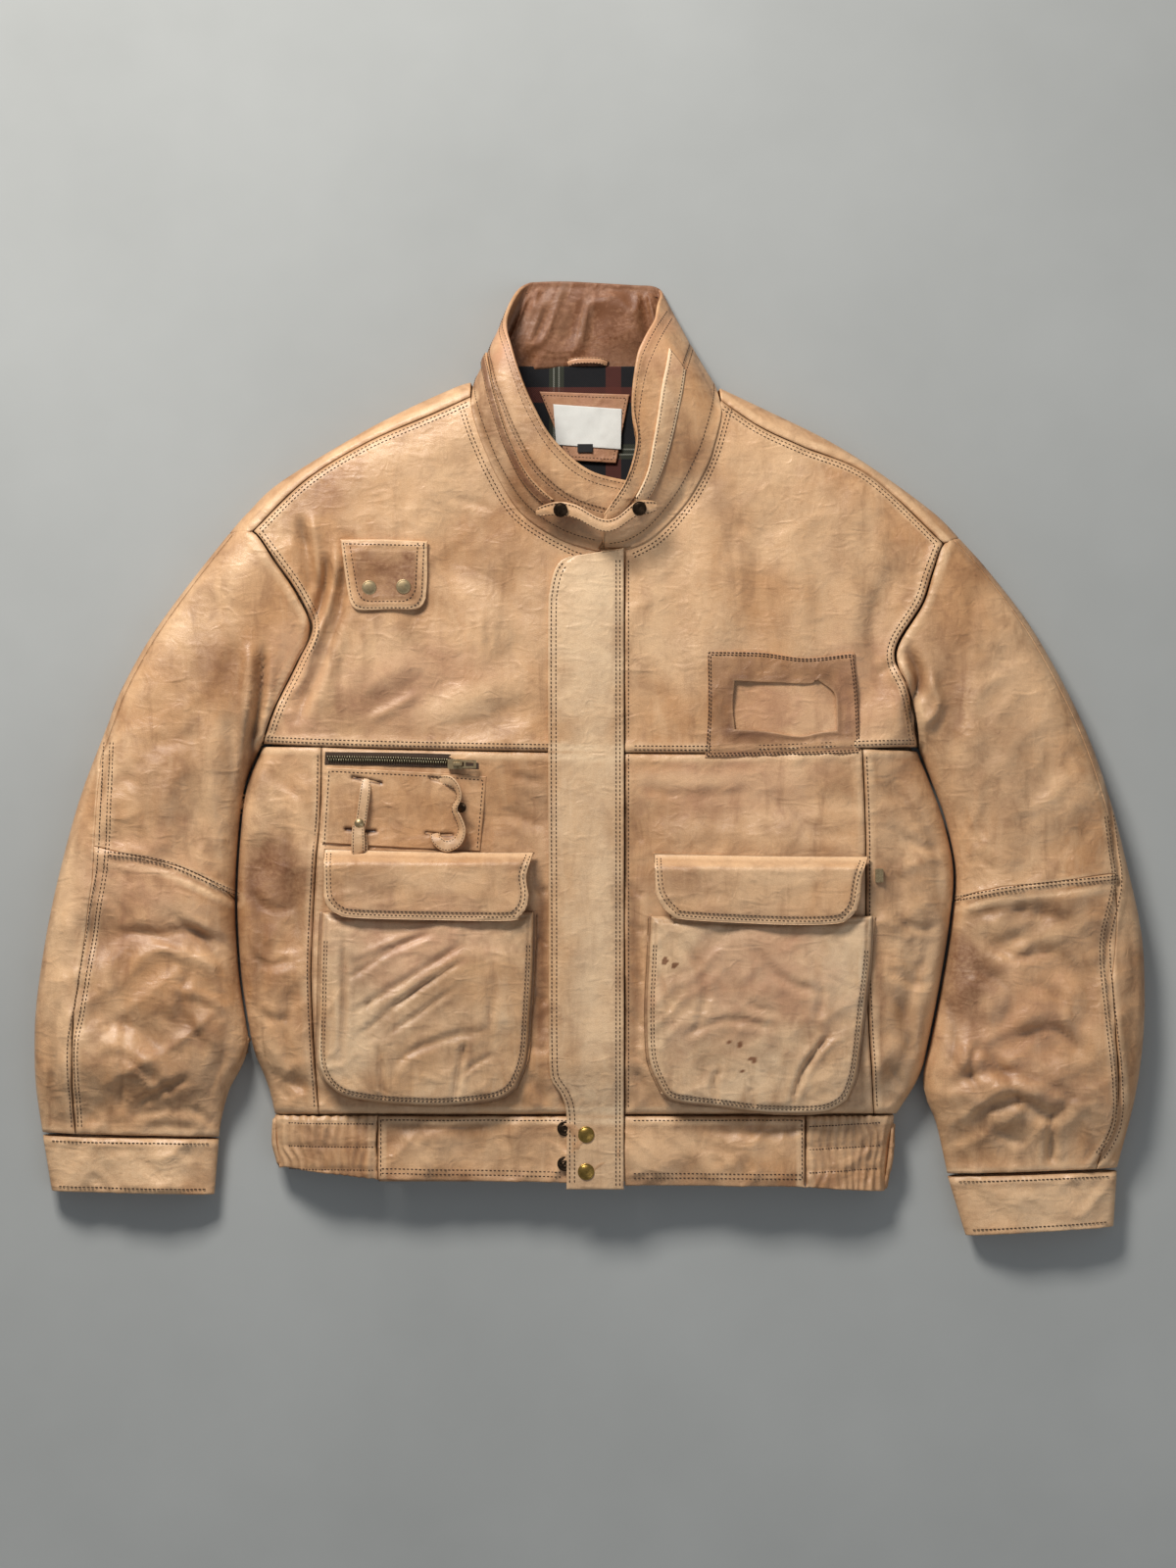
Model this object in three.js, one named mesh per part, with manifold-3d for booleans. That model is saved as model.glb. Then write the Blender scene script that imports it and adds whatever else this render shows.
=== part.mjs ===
// A worn leather jacket laid flat on its back, front up, closed and collapsed under its own weight.
// Millimetres, +Z up. X runs across the jacket, Y from hem to collar, and Z = 0 is the surface it lies on.
// The cloth follows one form: an upper and a lower skin that meet in a rounded fold along every side.

import * as THREE from 'three';
import { mergeVertices } from 'three/addons/utils/BufferGeometryUtils.js';
import Module from 'manifold-3d';

const wasm = await Module();
wasm.setup();

// ---------------------------------------------------------------- driving dimensions
const WALL = 3;                // leather, interlining and lining quilted together
const THIN = 2;                // a single turned leather layer
const SEAM = 0.35;             // each piece stops this far short of a seam
const ARMHOLE_GAP = 1.4;       // the sleeves' turned edges stop this far short of the armholes
const LIFT = 0.6;              // a piece that lies on another starts this far above it
const BODY_HEIGHT = 42;        // top of the collapsed body
const SLEEVE_HEIGHT = 46;      // top of the fuller sleeves
const HEM_HEIGHT = 33;         // top of the waistband
const CUFF_HEIGHT = 27;        // top of the cuffs
const FOLD_HEIGHT = 14;        // widest point of the rounded side folds
const UPPER_ROLL = 48;         // how far in the upper skin rounds off
const LOWER_ROLL = 14;         // how far in the lower skin rounds off
const HEM_SLOPE = [-262, -306];        // Y where the body starts and ends its slope to the waistband
const CUFF_SLOPE_L = [-255, -322];
const CUFF_SLOPE_R = [-285, -352];
const POCKET_DEPTH = 8;        // air between the body and a pocket's front
const CENTRE = [-0.5, -1];     // moves the outline's middle onto the origin

// ---------------------------------------------------------------- outlines and seams, X and Y
const SHOULDER_FOLD_L = [[-103, 332], [-118, 327], [-158, 309], [-202, 286], [-269, 245], [-298, 218],
  [-314, 200]];
const SHOULDER_FOLD_R = [[114, 327], [152, 309], [209, 281], [255, 252], [301, 218], [323, 196]];
const SHOULDER_SEAM_L = [[-103, 318], [-136, 303], [-194, 278], [-246, 246], [-292, 201]];
const SHOULDER_SEAM_R = [[115, 315], [148, 292], [187, 274], [244, 250], [308, 190]];
const ARMHOLE_L = [[-292, 201], [-271, 173], [-252, 145], [-241, 117], [-253, 88], [-271, 51],
  [-284, 16]];
const ARMHOLE_R = [[308, 190], [298, 165], [289, 138], [269, 106], [266, 88], [276, 66], [282, 42],
  [286, 13]];
const SLEEVE_OUTER_L = [[-314, 200], [-349, 156], [-383, 109], [-409, 62], [-422, 28], [-443, -27],
  [-460, -87], [-473, -146], [-482, -206], [-484, -240], [-483, -282], [-477, -323]];
const SLEEVE_OUTER_R = [[323, 196], [348, 168], [382, 124], [411, 75], [437, 20], [456, -36], [471, -95],
  [482, -146], [485, -189], [484, -240], [477, -291], [461, -354]];
const SIDE_FOLD_L = [[-284, 14], [-298, -19], [-304, -61], [-307, -121], [-304, -180], [-298, -223],
  [-292, -252], [-280, -282], [-274, -307]];
const SIDE_FOLD_R = [[286, 10], [298, -19], [310, -53], [318, -95], [315, -138], [307, -189], [297, -240],
  [288, -274], [268, -307]];
const SLEEVE_INNER_L = [[-286, 14], [-300, -19], [-306, -61], [-309, -121], [-306, -180], [-300, -223],
  [-297, -246], [-303, -265], [-314, -286], [-321, -312], [-323, -327]];
const SLEEVE_INNER_R = [[288, 11], [300, -19], [312, -53], [320, -95], [317, -138], [309, -189], [299, -240],
  [292, -272], [294, -292], [303, -315], [313, -359]];
const CUFF_L = { outer: [[-477, -325], [-469, -374]], inner: [[-323, -328], [-327, -377]] };
const CUFF_R = { outer: [[461, -356], [458, -405]], inner: [[313, -361], [329, -413]] };
const SIDE_SEAM_L = [[-235, -306], [-241, -189], [-237, -90], [-233, -40], [-232, 13.5]];
const SIDE_SEAM_R = [[248, -306], [241, -189], [240, -61], [237, 12]];
const UNDER_SEAM_L = [[-214, -306], [-236, -200], [-256, -90], [-278.5, 14]];
const UNDER_SEAM_R = [[206, -306], [234, -200], [258, -90], [282.5, 11]];
const BACK_TOP = [[-292, 201], [-258, 230], [-197, 270], [-152, 294], [-112, 312], [-86, 330], [-52, 338],
  [0, 341], [54, 338], [94, 329], [108, 312], [146, 295], [202, 266], [246, 238], [308, 190]];
const ROLL_END_L = [[-92, 314], [-150, 284], [-195, 258], [-256, 218], [-288, 201]];
const ROLL_END_R = [[104, 312], [146, 285], [200, 258], [244, 230], [302, 188]];
const YOKE_SEAM_L = [[-284, 16], [-232, 13.5], [-145, 11], [28, 8]];
const YOKE_SEAM_R = [[31, 8], [135, 8], [237, 12], [286, 13]];
const NECK_L = [[28, 185], [6, 185], [-26, 198], [-58, 220], [-78, 251], [-93, 284], [-101, 308],
  [-103, 318]];
const NECK_R = [[31, 186], [57, 201], [82, 230], [100, 264], [111, 300], [115, 315]];
const FRONT_EDGE = 28;         // X where the left front ends, under the placket
const PLACKET_SEAM = 30;       // X where the placket joins the right front
const HEM_TOP = -307;
const HEM_LOW = -367;
const BAND_SPLIT_L = -184;     // X where the plain waistband meets the shirred band
const BAND_SPLIT_R = 188;

// ---------------------------------------------------------------- curves in the plan
// A route along points, by the share of its length; rounded routes bend through their points.
function route(points, rounded = true) {
  const at = points.map(([x, y]) => new THREE.Vector2(x, y));
  const curve = rounded ? new THREE.SplineCurve(at) : new THREE.Path(at);
  curve.arcLengthDivisions = 400;
  return (share) => curve.getPointAt(Math.min(1, Math.max(0, share))).toArray();
}

const straight = (points) => route(points, false);

// Two routes end to end, each with its own share of the whole.
function chain(first, second, firstShare) {
  return (share) => (share < firstShare
    ? first(share / firstShare)
    : second((share - firstShare) / (1 - firstShare)));
}

// The share of a route at which it passes nearest to a point.
function shareNear(line, [x, y]) {
  const distance = (share) => Math.hypot(line(share)[0] - x, line(share)[1] - y);
  return steps(1000).reduce((best, share) => (distance(share) < distance(best) ? share : best));
}

const mix = (a, b, share) => a + (b - a) * share;
const mixPoint = (a, b, share) => a.map((value, i) => mix(value, b[i], share));
const steps = (count) => Array.from({ length: count + 1 }, (_, i) => i / count);

function smoothStep(edge0, edge1, value) {
  const share = Math.min(1, Math.max(0, (value - edge0) / (edge1 - edge0)));
  return share * share * (3 - 2 * share);
}

// The point at (u, v) of the region between four routes: low and high run left to right,
// left and right run low to high.
function coons(low, high, left, right) {
  return (u, v) => [0, 1].map((axis) => (1 - v) * low(u)[axis] + v * high(u)[axis]
    + (1 - u) * left(v)[axis] + u * right(v)[axis]
    - (1 - u) * (1 - v) * low(0)[axis] - u * (1 - v) * low(1)[axis]
    - (1 - u) * v * high(0)[axis] - u * v * high(1)[axis]);
}

// ---------------------------------------------------------------- the form of the cloth
const FOLD_LINES = [SHOULDER_FOLD_L, SHOULDER_FOLD_R, SLEEVE_OUTER_L, SLEEVE_OUTER_R, SIDE_FOLD_L,
  SIDE_FOLD_R, SLEEVE_INNER_L, SLEEVE_INNER_R, CUFF_L.outer, CUFF_L.inner, CUFF_R.outer, CUFF_R.inner,
  [[-274, -307], [-273, -330], [-270, -350]], [[268, -307], [262, -330], [258, -374]]]
  .map((points) => steps(48).map(route(points)));

// Broad folds in the upper skin: two ends, depth (minus for a ridge) and half width.
const BROAD_FOLDS = [
  { from: [-232, 150], to: [-262, 60], depth: 6, width: 16 },
  { from: [262, 150], to: [240, 60], depth: 5, width: 20 },
  { from: [-430, -152], to: [-318, -164], depth: 7, width: 20 },
  { from: [-410, -220], to: [-330, -262], depth: 5, width: 18 },
  { from: [330, -150], to: [440, -178], depth: 6, width: 22 },
  { from: [330, -225], to: [430, -262], depth: 6, width: 18 },
  { from: [-290, -80], to: [-262, -160], depth: 5, width: 18 },
  { from: [292, -150], to: [262, -236], depth: 5, width: 18 },
];

function nearestOnSegment(x, y, [x0, y0], [x1, y1]) {
  const length2 = (x1 - x0) ** 2 + (y1 - y0) ** 2;
  const share = Math.min(1, Math.max(0, ((x - x0) * (x1 - x0) + (y - y0) * (y1 - y0)) / length2));
  return Math.hypot(x - mix(x0, x1, share), y - mix(y0, y1, share));
}

function foldDistance(x, y) {
  let nearest = Infinity;
  for (const line of FOLD_LINES) {
    for (let i = 1; i < line.length; i += 1) {
      nearest = Math.min(nearest, nearestOnSegment(x, y, line[i - 1], line[i]));
    }
  }
  return nearest;
}

function fullHeight(x, y) {
  if (x < -298 && y < CUFF_SLOPE_L[0]) {
    return mix(SLEEVE_HEIGHT, CUFF_HEIGHT, smoothStep(...CUFF_SLOPE_L, y));
  }
  if (x > 290 && y < CUFF_SLOPE_R[0]) {
    return mix(SLEEVE_HEIGHT, CUFF_HEIGHT, smoothStep(...CUFF_SLOPE_R, y));
  }
  if (y < HEM_SLOPE[0] && Math.abs(x) < 290) {
    return mix(BODY_HEIGHT, HEM_HEIGHT, Math.min(1, (y - HEM_SLOPE[0]) / (HEM_SLOPE[1] - HEM_SLOPE[0])));
  }
  return mix(BODY_HEIGHT, SLEEVE_HEIGHT, smoothStep(262, 330, Math.abs(x)));
}

function broadFolds(x, y) {
  return BROAD_FOLDS.reduce((sum, fold) => sum
    - fold.depth * Math.exp(-((nearestOnSegment(x, y, fold.from, fold.to) / fold.width) ** 2)), 0);
}

function upperHeight(x, y) {
  const inward = Math.min(1, foldDistance(x, y) / UPPER_ROLL);
  const rise = Math.sqrt(1 - (1 - inward) ** 2);
  return FOLD_HEIGHT + (fullHeight(x, y) - FOLD_HEIGHT) * rise + broadFolds(x, y) * inward;
}

function lowerHeight(x, y) {
  const inward = Math.min(1, foldDistance(x, y) / LOWER_ROLL);
  return FOLD_HEIGHT * (1 - Math.sqrt(1 - (1 - inward) ** 2));
}

// A point of the skin with its outward normal. side: 1 upper, -1 lower, 0 on the fold itself.
function skin([x, y], side, foldNormal) {
  if (side === 0) {
    return { point: new THREE.Vector3(x, y, FOLD_HEIGHT), normal: foldNormal };
  }
  const height = side > 0 ? upperHeight : lowerHeight;
  const reach = 1.5;
  const slopeX = (height(x + reach, y) - height(x - reach, y)) / (2 * reach);
  const slopeY = (height(x, y + reach) - height(x, y - reach)) / (2 * reach);
  const normal = new THREE.Vector3(-slopeX, -slopeY, 1).normalize().multiplyScalar(side);
  return { point: new THREE.Vector3(x, y, height(x, y)), normal };
}

// ---------------------------------------------------------------- solids
// A closed wall from a grid of skin points (rows of columns); closed rows make a ring.
function wall(grid, {
  thickness = WALL, ring = false, lift = 0, seam = SEAM, startSeam = seam, endSeam = seam,
} = {}) {
  const rows = grid.length;
  const columns = grid[0].length;
  const outer = grid.map((row) => row
    .map(({ point, normal }) => point.clone().addScaledVector(normal, lift)));
  const pull = (a, b, gap = seam) => a.clone().addScaledVector(b.clone().sub(a).normalize(), gap);
  for (const row of ring ? [] : outer) {
    const first = pull(row[0], row[1]);
    row[columns - 1] = pull(row[columns - 1], row[columns - 2]);
    row[0] = first;
  }
  outer[0] = outer[0].map((point, i) => pull(point, outer[1][i], startSeam));
  outer[rows - 1] = outer[rows - 1].map((point, i) => pull(point, outer[rows - 2][i], endSeam));
  const inner = outer.map((row, j) => row.map((point, i) => point.clone()
    .addScaledVector(grid[j][i].normal, -thickness)));
  const vertices = [...outer.flat(), ...inner.flat()];
  const outerAt = (j, i) => j * columns + (i % columns);
  const innerAt = (j, i) => rows * columns + outerAt(j, i);
  const faces = [];
  const quad = (a, b, c, d) => faces.push([a, b, c], [a, c, d]);
  const spans = ring ? columns : columns - 1;
  for (let j = 0; j < rows - 1; j += 1) {
    for (let i = 0; i < spans; i += 1) {
      quad(outerAt(j, i), outerAt(j, i + 1), outerAt(j + 1, i + 1), outerAt(j + 1, i));
      quad(innerAt(j, i), innerAt(j + 1, i), innerAt(j + 1, i + 1), innerAt(j, i + 1));
    }
    if (!ring) {
      quad(outerAt(j, 0), outerAt(j + 1, 0), innerAt(j + 1, 0), innerAt(j, 0));
      const last = columns - 1;
      quad(outerAt(j, last), innerAt(j, last), innerAt(j + 1, last), outerAt(j + 1, last));
    }
  }
  for (let i = 0; i < spans; i += 1) {
    quad(outerAt(0, i), innerAt(0, i), innerAt(0, i + 1), outerAt(0, i + 1));
    quad(outerAt(rows - 1, i), outerAt(rows - 1, i + 1), innerAt(rows - 1, i + 1), innerAt(rows - 1, i));
  }
  return facingOut(vertices, faces);
}

// A geometry from vertices and faces, turned so that its faces point out.
function facingOut(vertices, faces) {
  let volume = 0;
  for (const [a, b, c] of faces) {
    volume += vertices[a].dot(vertices[b].clone().cross(vertices[c]));
  }
  const geometry = new THREE.BufferGeometry();
  const places = vertices.flatMap((vertex) => vertex.toArray());
  geometry.setAttribute('position', new THREE.Float32BufferAttribute(places, 3));
  geometry.setIndex((volume > 0 ? faces : faces.map(([a, b, c]) => [a, c, b])).flat());
  return geometry;
}

function toManifold(geometry) {
  const bare = geometry.clone();
  bare.deleteAttribute('normal');
  bare.deleteAttribute('uv');
  const merged = mergeVertices(bare, 1e-4);
  return new wasm.Manifold(new wasm.Mesh({
    numProp: 3,
    vertProperties: new Float32Array(merged.attributes.position.array),
    triVerts: new Uint32Array(merged.index.array),
  }));
}

function fromManifold(solid) {
  const mesh = solid.getMesh();
  const geometry = new THREE.BufferGeometry();
  geometry.setAttribute('position', new THREE.BufferAttribute(new Float32Array(mesh.vertProperties), 3));
  geometry.setIndex(Array.from(mesh.triVerts));
  return geometry;
}

const joined = (a, b) => fromManifold(toManifold(a).add(toManifold(b)));
const common = (a, b) => fromManifold(toManifold(a).intersect(toManifold(b)));
const cut = (a, b) => fromManifold(toManifold(a).subtract(toManifold(b)));

// A plan outline with rounded corners: each point is [x, y] or [x, y, radius].
function outline(points) {
  const shape = new THREE.Shape();
  points.forEach(([x, y, radius = 0], i) => {
    const before = points[(i + points.length - 1) % points.length];
    const after = points[(i + 1) % points.length];
    const corner = new THREE.Vector2(x, y);
    const back = new THREE.Vector2(before[0] - x, before[1] - y).setLength(radius).add(corner);
    const ahead = new THREE.Vector2(after[0] - x, after[1] - y).setLength(radius).add(corner);
    if (i === 0) {
      shape.moveTo(back.x, back.y);
    } else {
      shape.lineTo(back.x, back.y);
    }
    if (radius > 0) {
      shape.quadraticCurveTo(x, y, ahead.x, ahead.y);
    }
  });
  shape.closePath();
  return shape;
}

// A slab of a plan outline between two heights.
function slab(shape, low, high, curveSegments = 4) {
  return new THREE.ExtrudeGeometry(shape, { depth: high - low, bevelEnabled: false, curveSegments })
    .translate(0, 0, low);
}

// A bar along X whose section is a list of [y, z] points.
function bar(section, fromX, toX) {
  const shape = new THREE.Shape(section.map(([y, z]) => new THREE.Vector2(y, z)));
  const geometry = new THREE.ExtrudeGeometry(shape, { depth: toX - fromX, bevelEnabled: false });
  geometry.applyMatrix4(new THREE.Matrix4().set(0, 0, 1, fromX, 1, 0, 0, 0, 0, 1, 0, 0, 0, 0, 0, 1));
  return geometry;
}

const disc = (x, y, low, radius, profile) => new THREE.LatheGeometry(
  profile.map(([share, height]) => new THREE.Vector2(radius * share, height)), 16,
).rotateX(Math.PI / 2).translate(x, y, low);

const SNAP_PROFILE = [[0, 0], [0.92, 0], [1, 0.5], [0.9, 1.5], [0.5, 2.2], [0, 2.4]];
const SOCKET_PROFILE = [[0, 0], [1, 0], [1, 1.2], [0, 1.2]];

// ---------------------------------------------------------------- materials
const leather = { color: '#b9905f', roughness: 0.55, metalness: 0 };
const paleLeather = { color: '#c9a57d', roughness: 0.5, metalness: 0 };
const darkLeather = { color: '#94683f', roughness: 0.6, metalness: 0 };
const brass = { color: '#a88a45', roughness: 0.35, metalness: 1 };
const antique = { color: '#8c8468', roughness: 0.4, metalness: 1 };
const bronze = { color: '#3a2f25', roughness: 0.4, metalness: 1 };
const plaid = { color: '#23242b', roughness: 0.95, metalness: 0 };
const paper = { color: '#e8e6df', roughness: 0.85, metalness: 0 };
const tape = { color: '#5b4a38', roughness: 0.8, metalness: 0 };

const jacket = new THREE.Group();

function add(name, geometry, look) {
  const mesh = new THREE.Mesh(geometry, new THREE.MeshStandardMaterial(look));
  mesh.name = name;
  mesh.position.set(CENTRE[0], CENTRE[1], 0);
  jacket.add(mesh);
  return mesh;
}

// ---------------------------------------------------------------- body
// An upper panel over the region between four routes.
function upperPanel(region, columns, rows) {
  return rows.map((v) => columns.map((u) => skin(region(u, v), 1)));
}

// A panel that wraps a side: each row runs on the upper skin from its seam out to the fold, then back
// in on the lower skin. shares place the columns between the fold (0) and the seam (1).
const UPPER_SHARES = [1, 0.62, 0.32, 0.12, 0.03];
const LOWER_SHARES = [0.06, 0.2, 0.55, 1];

function wrapPanel(upperSeam, fold, lowerSeam, rows) {
  return rows.map((v) => {
    const edge = fold(v);
    const out = new THREE.Vector3(edge[0] - upperSeam(v)[0], edge[1] - upperSeam(v)[1], 0).normalize();
    return [
      ...UPPER_SHARES.map((share) => skin(mixPoint(edge, upperSeam(v), share), 1)),
      skin(edge, 0, out),
      ...LOWER_SHARES.map((share) => skin(mixPoint(edge, lowerSeam(v), share), -1)),
    ];
  });
}

const reversed = (line) => (share) => line(1 - share);
const part = (line, from, to) => (share) => line(mix(from, to, share));
const neckL = route(NECK_L);
const neckR = route(NECK_R);
const sideSeamL = route(SIDE_SEAM_L);
const sideSeamR = route(SIDE_SEAM_R);
const yokeSeamL = route(YOKE_SEAM_L);
const yokeSeamR = route(YOKE_SEAM_R);
const sideShareL = shareNear(yokeSeamL, SIDE_SEAM_L.at(-1));
const sideShareR = shareNear(yokeSeamR, SIDE_SEAM_R.at(-1));
const BODY_ROWS = [0, 0.14, 0.34, 0.52, 0.68, 0.84, 1];
// Rows of the yokes and of the back that meet the sleeves' own columns along the armholes.
const YOKE_ROWS = [0, 0.053, 0.149, 0.297, 0.487, 0.679, 0.848, 1];
const UNDER_ARM = 0.6;         // share of the back's side that its side seam takes
const BACK_ROWS = [0, 0.15, 0.3, 0.45, 0.525, UNDER_ARM, 0.625, 0.72, 0.86, 0.985, 1];
const armholeL = route([SHOULDER_FOLD_L.at(-1), ...ARMHOLE_L]);
const armholeR = route([SHOULDER_FOLD_R.at(-1), ...ARMHOLE_R]);
const tipShareL = shareNear(armholeL, ARMHOLE_L[0]);
const tipShareR = shareNear(armholeR, ARMHOLE_R[0]);

add('yoke_left', wall(upperPanel(coons(
  yokeSeamL,
  reversed(route(SHOULDER_SEAM_L)),
  part(armholeL, 1, tipShareL),
  chain(straight([[FRONT_EDGE, 8], [FRONT_EDGE, 185]]), neckL, 0.463),
), steps(9), YOKE_ROWS)), leather);

add('yoke_right', wall(upperPanel(coons(
  yokeSeamR,
  route(SHOULDER_SEAM_R),
  chain(straight([[PLACKET_SEAM + 1, 8], [PLACKET_SEAM + 1, 186]]), neckR, 0.527),
  part(armholeR, 1, tipShareR),
), steps(9), YOKE_ROWS)), leather);

add('front_left', wall(upperPanel(coons(
  straight([[-235, HEM_TOP + 1], [FRONT_EDGE, HEM_TOP + 1]]),
  part(yokeSeamL, sideShareL, 1),
  sideSeamL,
  straight([[FRONT_EDGE, HEM_TOP + 1], [FRONT_EDGE, 8]]),
), steps(5), BODY_ROWS)), leather);

add('front_right', wall(upperPanel(coons(
  straight([[PLACKET_SEAM + 1, HEM_TOP + 1], [248, HEM_TOP + 1]]),
  part(yokeSeamR, 0, sideShareR),
  straight([[PLACKET_SEAM + 1, HEM_TOP + 1], [PLACKET_SEAM + 1, 8]]),
  sideSeamR,
), steps(5), BODY_ROWS)), leather);

const sideFoldL = reversed(route(SIDE_FOLD_L));
const sideFoldR = reversed(route(SIDE_FOLD_R));
const underSeamL = route(UNDER_SEAM_L);
const underSeamR = route(UNDER_SEAM_R);
add('side_left', wall(wrapPanel(sideSeamL, sideFoldL, underSeamL, steps(8))), leather);
add('side_right', wall(wrapPanel(sideSeamR, sideFoldR, underSeamR, steps(8))), leather);

// The back lies flat, and rolls over each shoulder to a seam set forward of the fold.
const backPlan = coons(
  straight([UNDER_SEAM_L[0], UNDER_SEAM_R[0]]),
  route(BACK_TOP),
  chain(underSeamL, part(armholeL, shareNear(armholeL, [-280, 26]), tipShareL), UNDER_ARM),
  chain(underSeamR, part(armholeR, shareNear(armholeR, [285, 24]), tipShareR), UNDER_ARM),
);
const backSheet = wall(BACK_ROWS.map((v) => steps(12).map((u) => skin(backPlan(u, v), -1))));
const shoulderRolls = [
  [SHOULDER_SEAM_L, SHOULDER_FOLD_L, ROLL_END_L],
  [SHOULDER_SEAM_R, SHOULDER_FOLD_R, ROLL_END_R],
].map((lines) => wrapPanel(...lines.map((points) => route(points)), steps(9)))
  .map((grid) => wall(grid, { endSeam: ARMHOLE_GAP }));
add('back', shoulderRolls.reduce(joined, backSheet), leather);

// ---------------------------------------------------------------- waistband
const BAND_ROWS = [0, 1];

function hemPanel(fromX, toX, lowY, columns) {
  return wall(upperPanel(coons(
    straight([[fromX, lowY[0]], [toX, lowY[1]]]),
    straight([[fromX, HEM_TOP], [toX, HEM_TOP]]),
    straight([[fromX, lowY[0]], [fromX, HEM_TOP]]),
    straight([[toX, lowY[1]], [toX, HEM_TOP]]),
  ), steps(columns), BAND_ROWS));
}

add('waistband_left', hemPanel(BAND_SPLIT_L, FRONT_EDGE, [-363, -366], 3), leather);
add('waistband_right', hemPanel(PLACKET_SEAM + 1, BAND_SPLIT_R, [-368, -369], 3), leather);
add('waistband_side_left', wall(wrapPanel(
  straight([[BAND_SPLIT_L, -363], [BAND_SPLIT_L, HEM_TOP]]),
  straight([[-270, -350], [-274, HEM_TOP]]),
  straight([[BAND_SPLIT_L, -363], [BAND_SPLIT_L, HEM_TOP]]),
  steps(2),
)), leather);
add('waistband_side_right', wall(wrapPanel(
  straight([[BAND_SPLIT_R, -369], [BAND_SPLIT_R, HEM_TOP]]),
  straight([[258, -374], [266, HEM_TOP]]),
  straight([[BAND_SPLIT_R, -369], [BAND_SPLIT_R, HEM_TOP]]),
  steps(2),
)), leather);
add('waistband_back', wall(BAND_ROWS.map((v) => steps(6).map((u) => skin(
  [mix(BAND_SPLIT_L, BAND_SPLIT_R, u), mix(HEM_LOW, HEM_TOP, v)], -1,
)))), leather);

// ---------------------------------------------------------------- sleeves
// u runs across a sleeve from its outer fold to its inner fold; share runs from armhole to cuff.
const SLEEVE_LEFT = {
  side: 'left',
  armhole: armholeL,
  outer: route(SLEEVE_OUTER_L),
  inner: route(SLEEVE_INNER_L),
  cuff: CUFF_L,
  elbow: [0.57, 0.39],         // share at the back seam, and at the inner fold
  backSeam: [[0, 0.03], [0.34, 0.03], [0.5, 0.22], [0.75, 0.215], [1, 0.19]],
};
const SLEEVE_RIGHT = {
  side: 'right',
  armhole: armholeR,
  outer: route(SLEEVE_OUTER_R),
  inner: route(SLEEVE_INNER_R),
  cuff: CUFF_R,
  elbow: [0.575, 0.36],
  backSeam: [[0, 0.03], [0.43, 0.03], [0.6, 0.17], [0.72, 0.18], [0.85, 0.12], [1, 0.13]],
};
const UNDER_SEAM_U = 0.9;      // where the under sleeve meets the others, below the inner fold
const ACROSS = [0, 0.08, 0.2, 0.36, 0.54, 0.72, 0.86, 0.95, 0.99];

function lookUp(table, value) {
  const i = Math.max(1, table.findIndex(([at]) => at >= value));
  const [[x0, y0], [x1, y1]] = [table[i - 1], table[i]];
  return mix(y0, y1, (value - x0) / (x1 - x0));
}

function makeSleeve({ side, armhole, outer, inner, cuff, elbow, backSeam }) {
  const plan = coons(armhole, straight([cuff.outer[0], cuff.inner[0]]), outer, inner);
  const elbowAt = (u) => mix(...elbow, u);
  const shareAt = (half, row, u) => (half === 0
    ? row * elbowAt(u)
    : mix(elbowAt(u), 1, row));
  const foldNormal = (share, sign) => {
    const [a, b] = [plan(0, share), plan(1, share)];
    return new THREE.Vector3(b[0] - a[0], b[1] - a[1], 0).normalize().multiplyScalar(sign);
  };
  const seamU = (half, row) => lookUp(backSeam, shareAt(half, row, 0));
  const lowerPoint = (half, row, u) => skin(plan(u, shareAt(half, row, u)), -1);

  const topPanel = (half) => steps(6).map((row) => [
    ...ACROSS.map((across) => skin(plan(mix(seamU(half, row), 1, across), shareAt(half, row, across)), 1)),
    skin(plan(1, shareAt(half, row, 1)), 0, foldNormal(shareAt(half, row, 1), 1)),
    ...[0.985, UNDER_SEAM_U].map((u) => lowerPoint(half, row, u)),
  ]);
  add(`sleeve_upper_${side}`, wall(topPanel(0), { startSeam: ARMHOLE_GAP }), leather);
  add(`sleeve_lower_${side}`, wall(topPanel(1)), leather);

  const underRow = (half, row) => [
    ...[UNDER_SEAM_U, 0.7, 0.4, 0.12, 0.04].map((u) => lowerPoint(half, row, u)),
    skin(plan(0, shareAt(half, row, 0)), 0, foldNormal(shareAt(half, row, 0), -1)),
    ...[0.1, 0.35, 1].map((share) => skin(plan(seamU(half, row) * share, shareAt(half, row, 0)), 1)),
  ];
  const rows = steps(6);
  add(`sleeve_under_${side}`, wall([
    ...rows.map((row) => underRow(0, row)),
    ...rows.slice(1).map((row) => underRow(1, row)),
  ], { startSeam: ARMHOLE_GAP }), leather);

  const cuffRing = steps(2).map((row) => {
    const a = mixPoint(...cuff.outer, row);
    const b = mixPoint(...cuff.inner, row);
    const out = new THREE.Vector3(a[0] - b[0], a[1] - b[1], 0).normalize();
    return [
      skin(a, 0, out),
      ...[0.03, 0.12, 0.3, 0.5, 0.7, 0.88, 0.97].map((u) => skin(mixPoint(a, b, u), 1)),
      skin(b, 0, out.clone().negate()),
      ...[0.96, 0.88, 0.5, 0.12, 0.04].map((u) => skin(mixPoint(a, b, u), -1)),
    ];
  });
  add(`cuff_${side}`, wall(cuffRing, { ring: true }), leather);
}

makeSleeve(SLEEVE_LEFT);
makeSleeve(SLEEVE_RIGHT);

// ---------------------------------------------------------------- placket
const PLACKET_THICK = 2.6;
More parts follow.
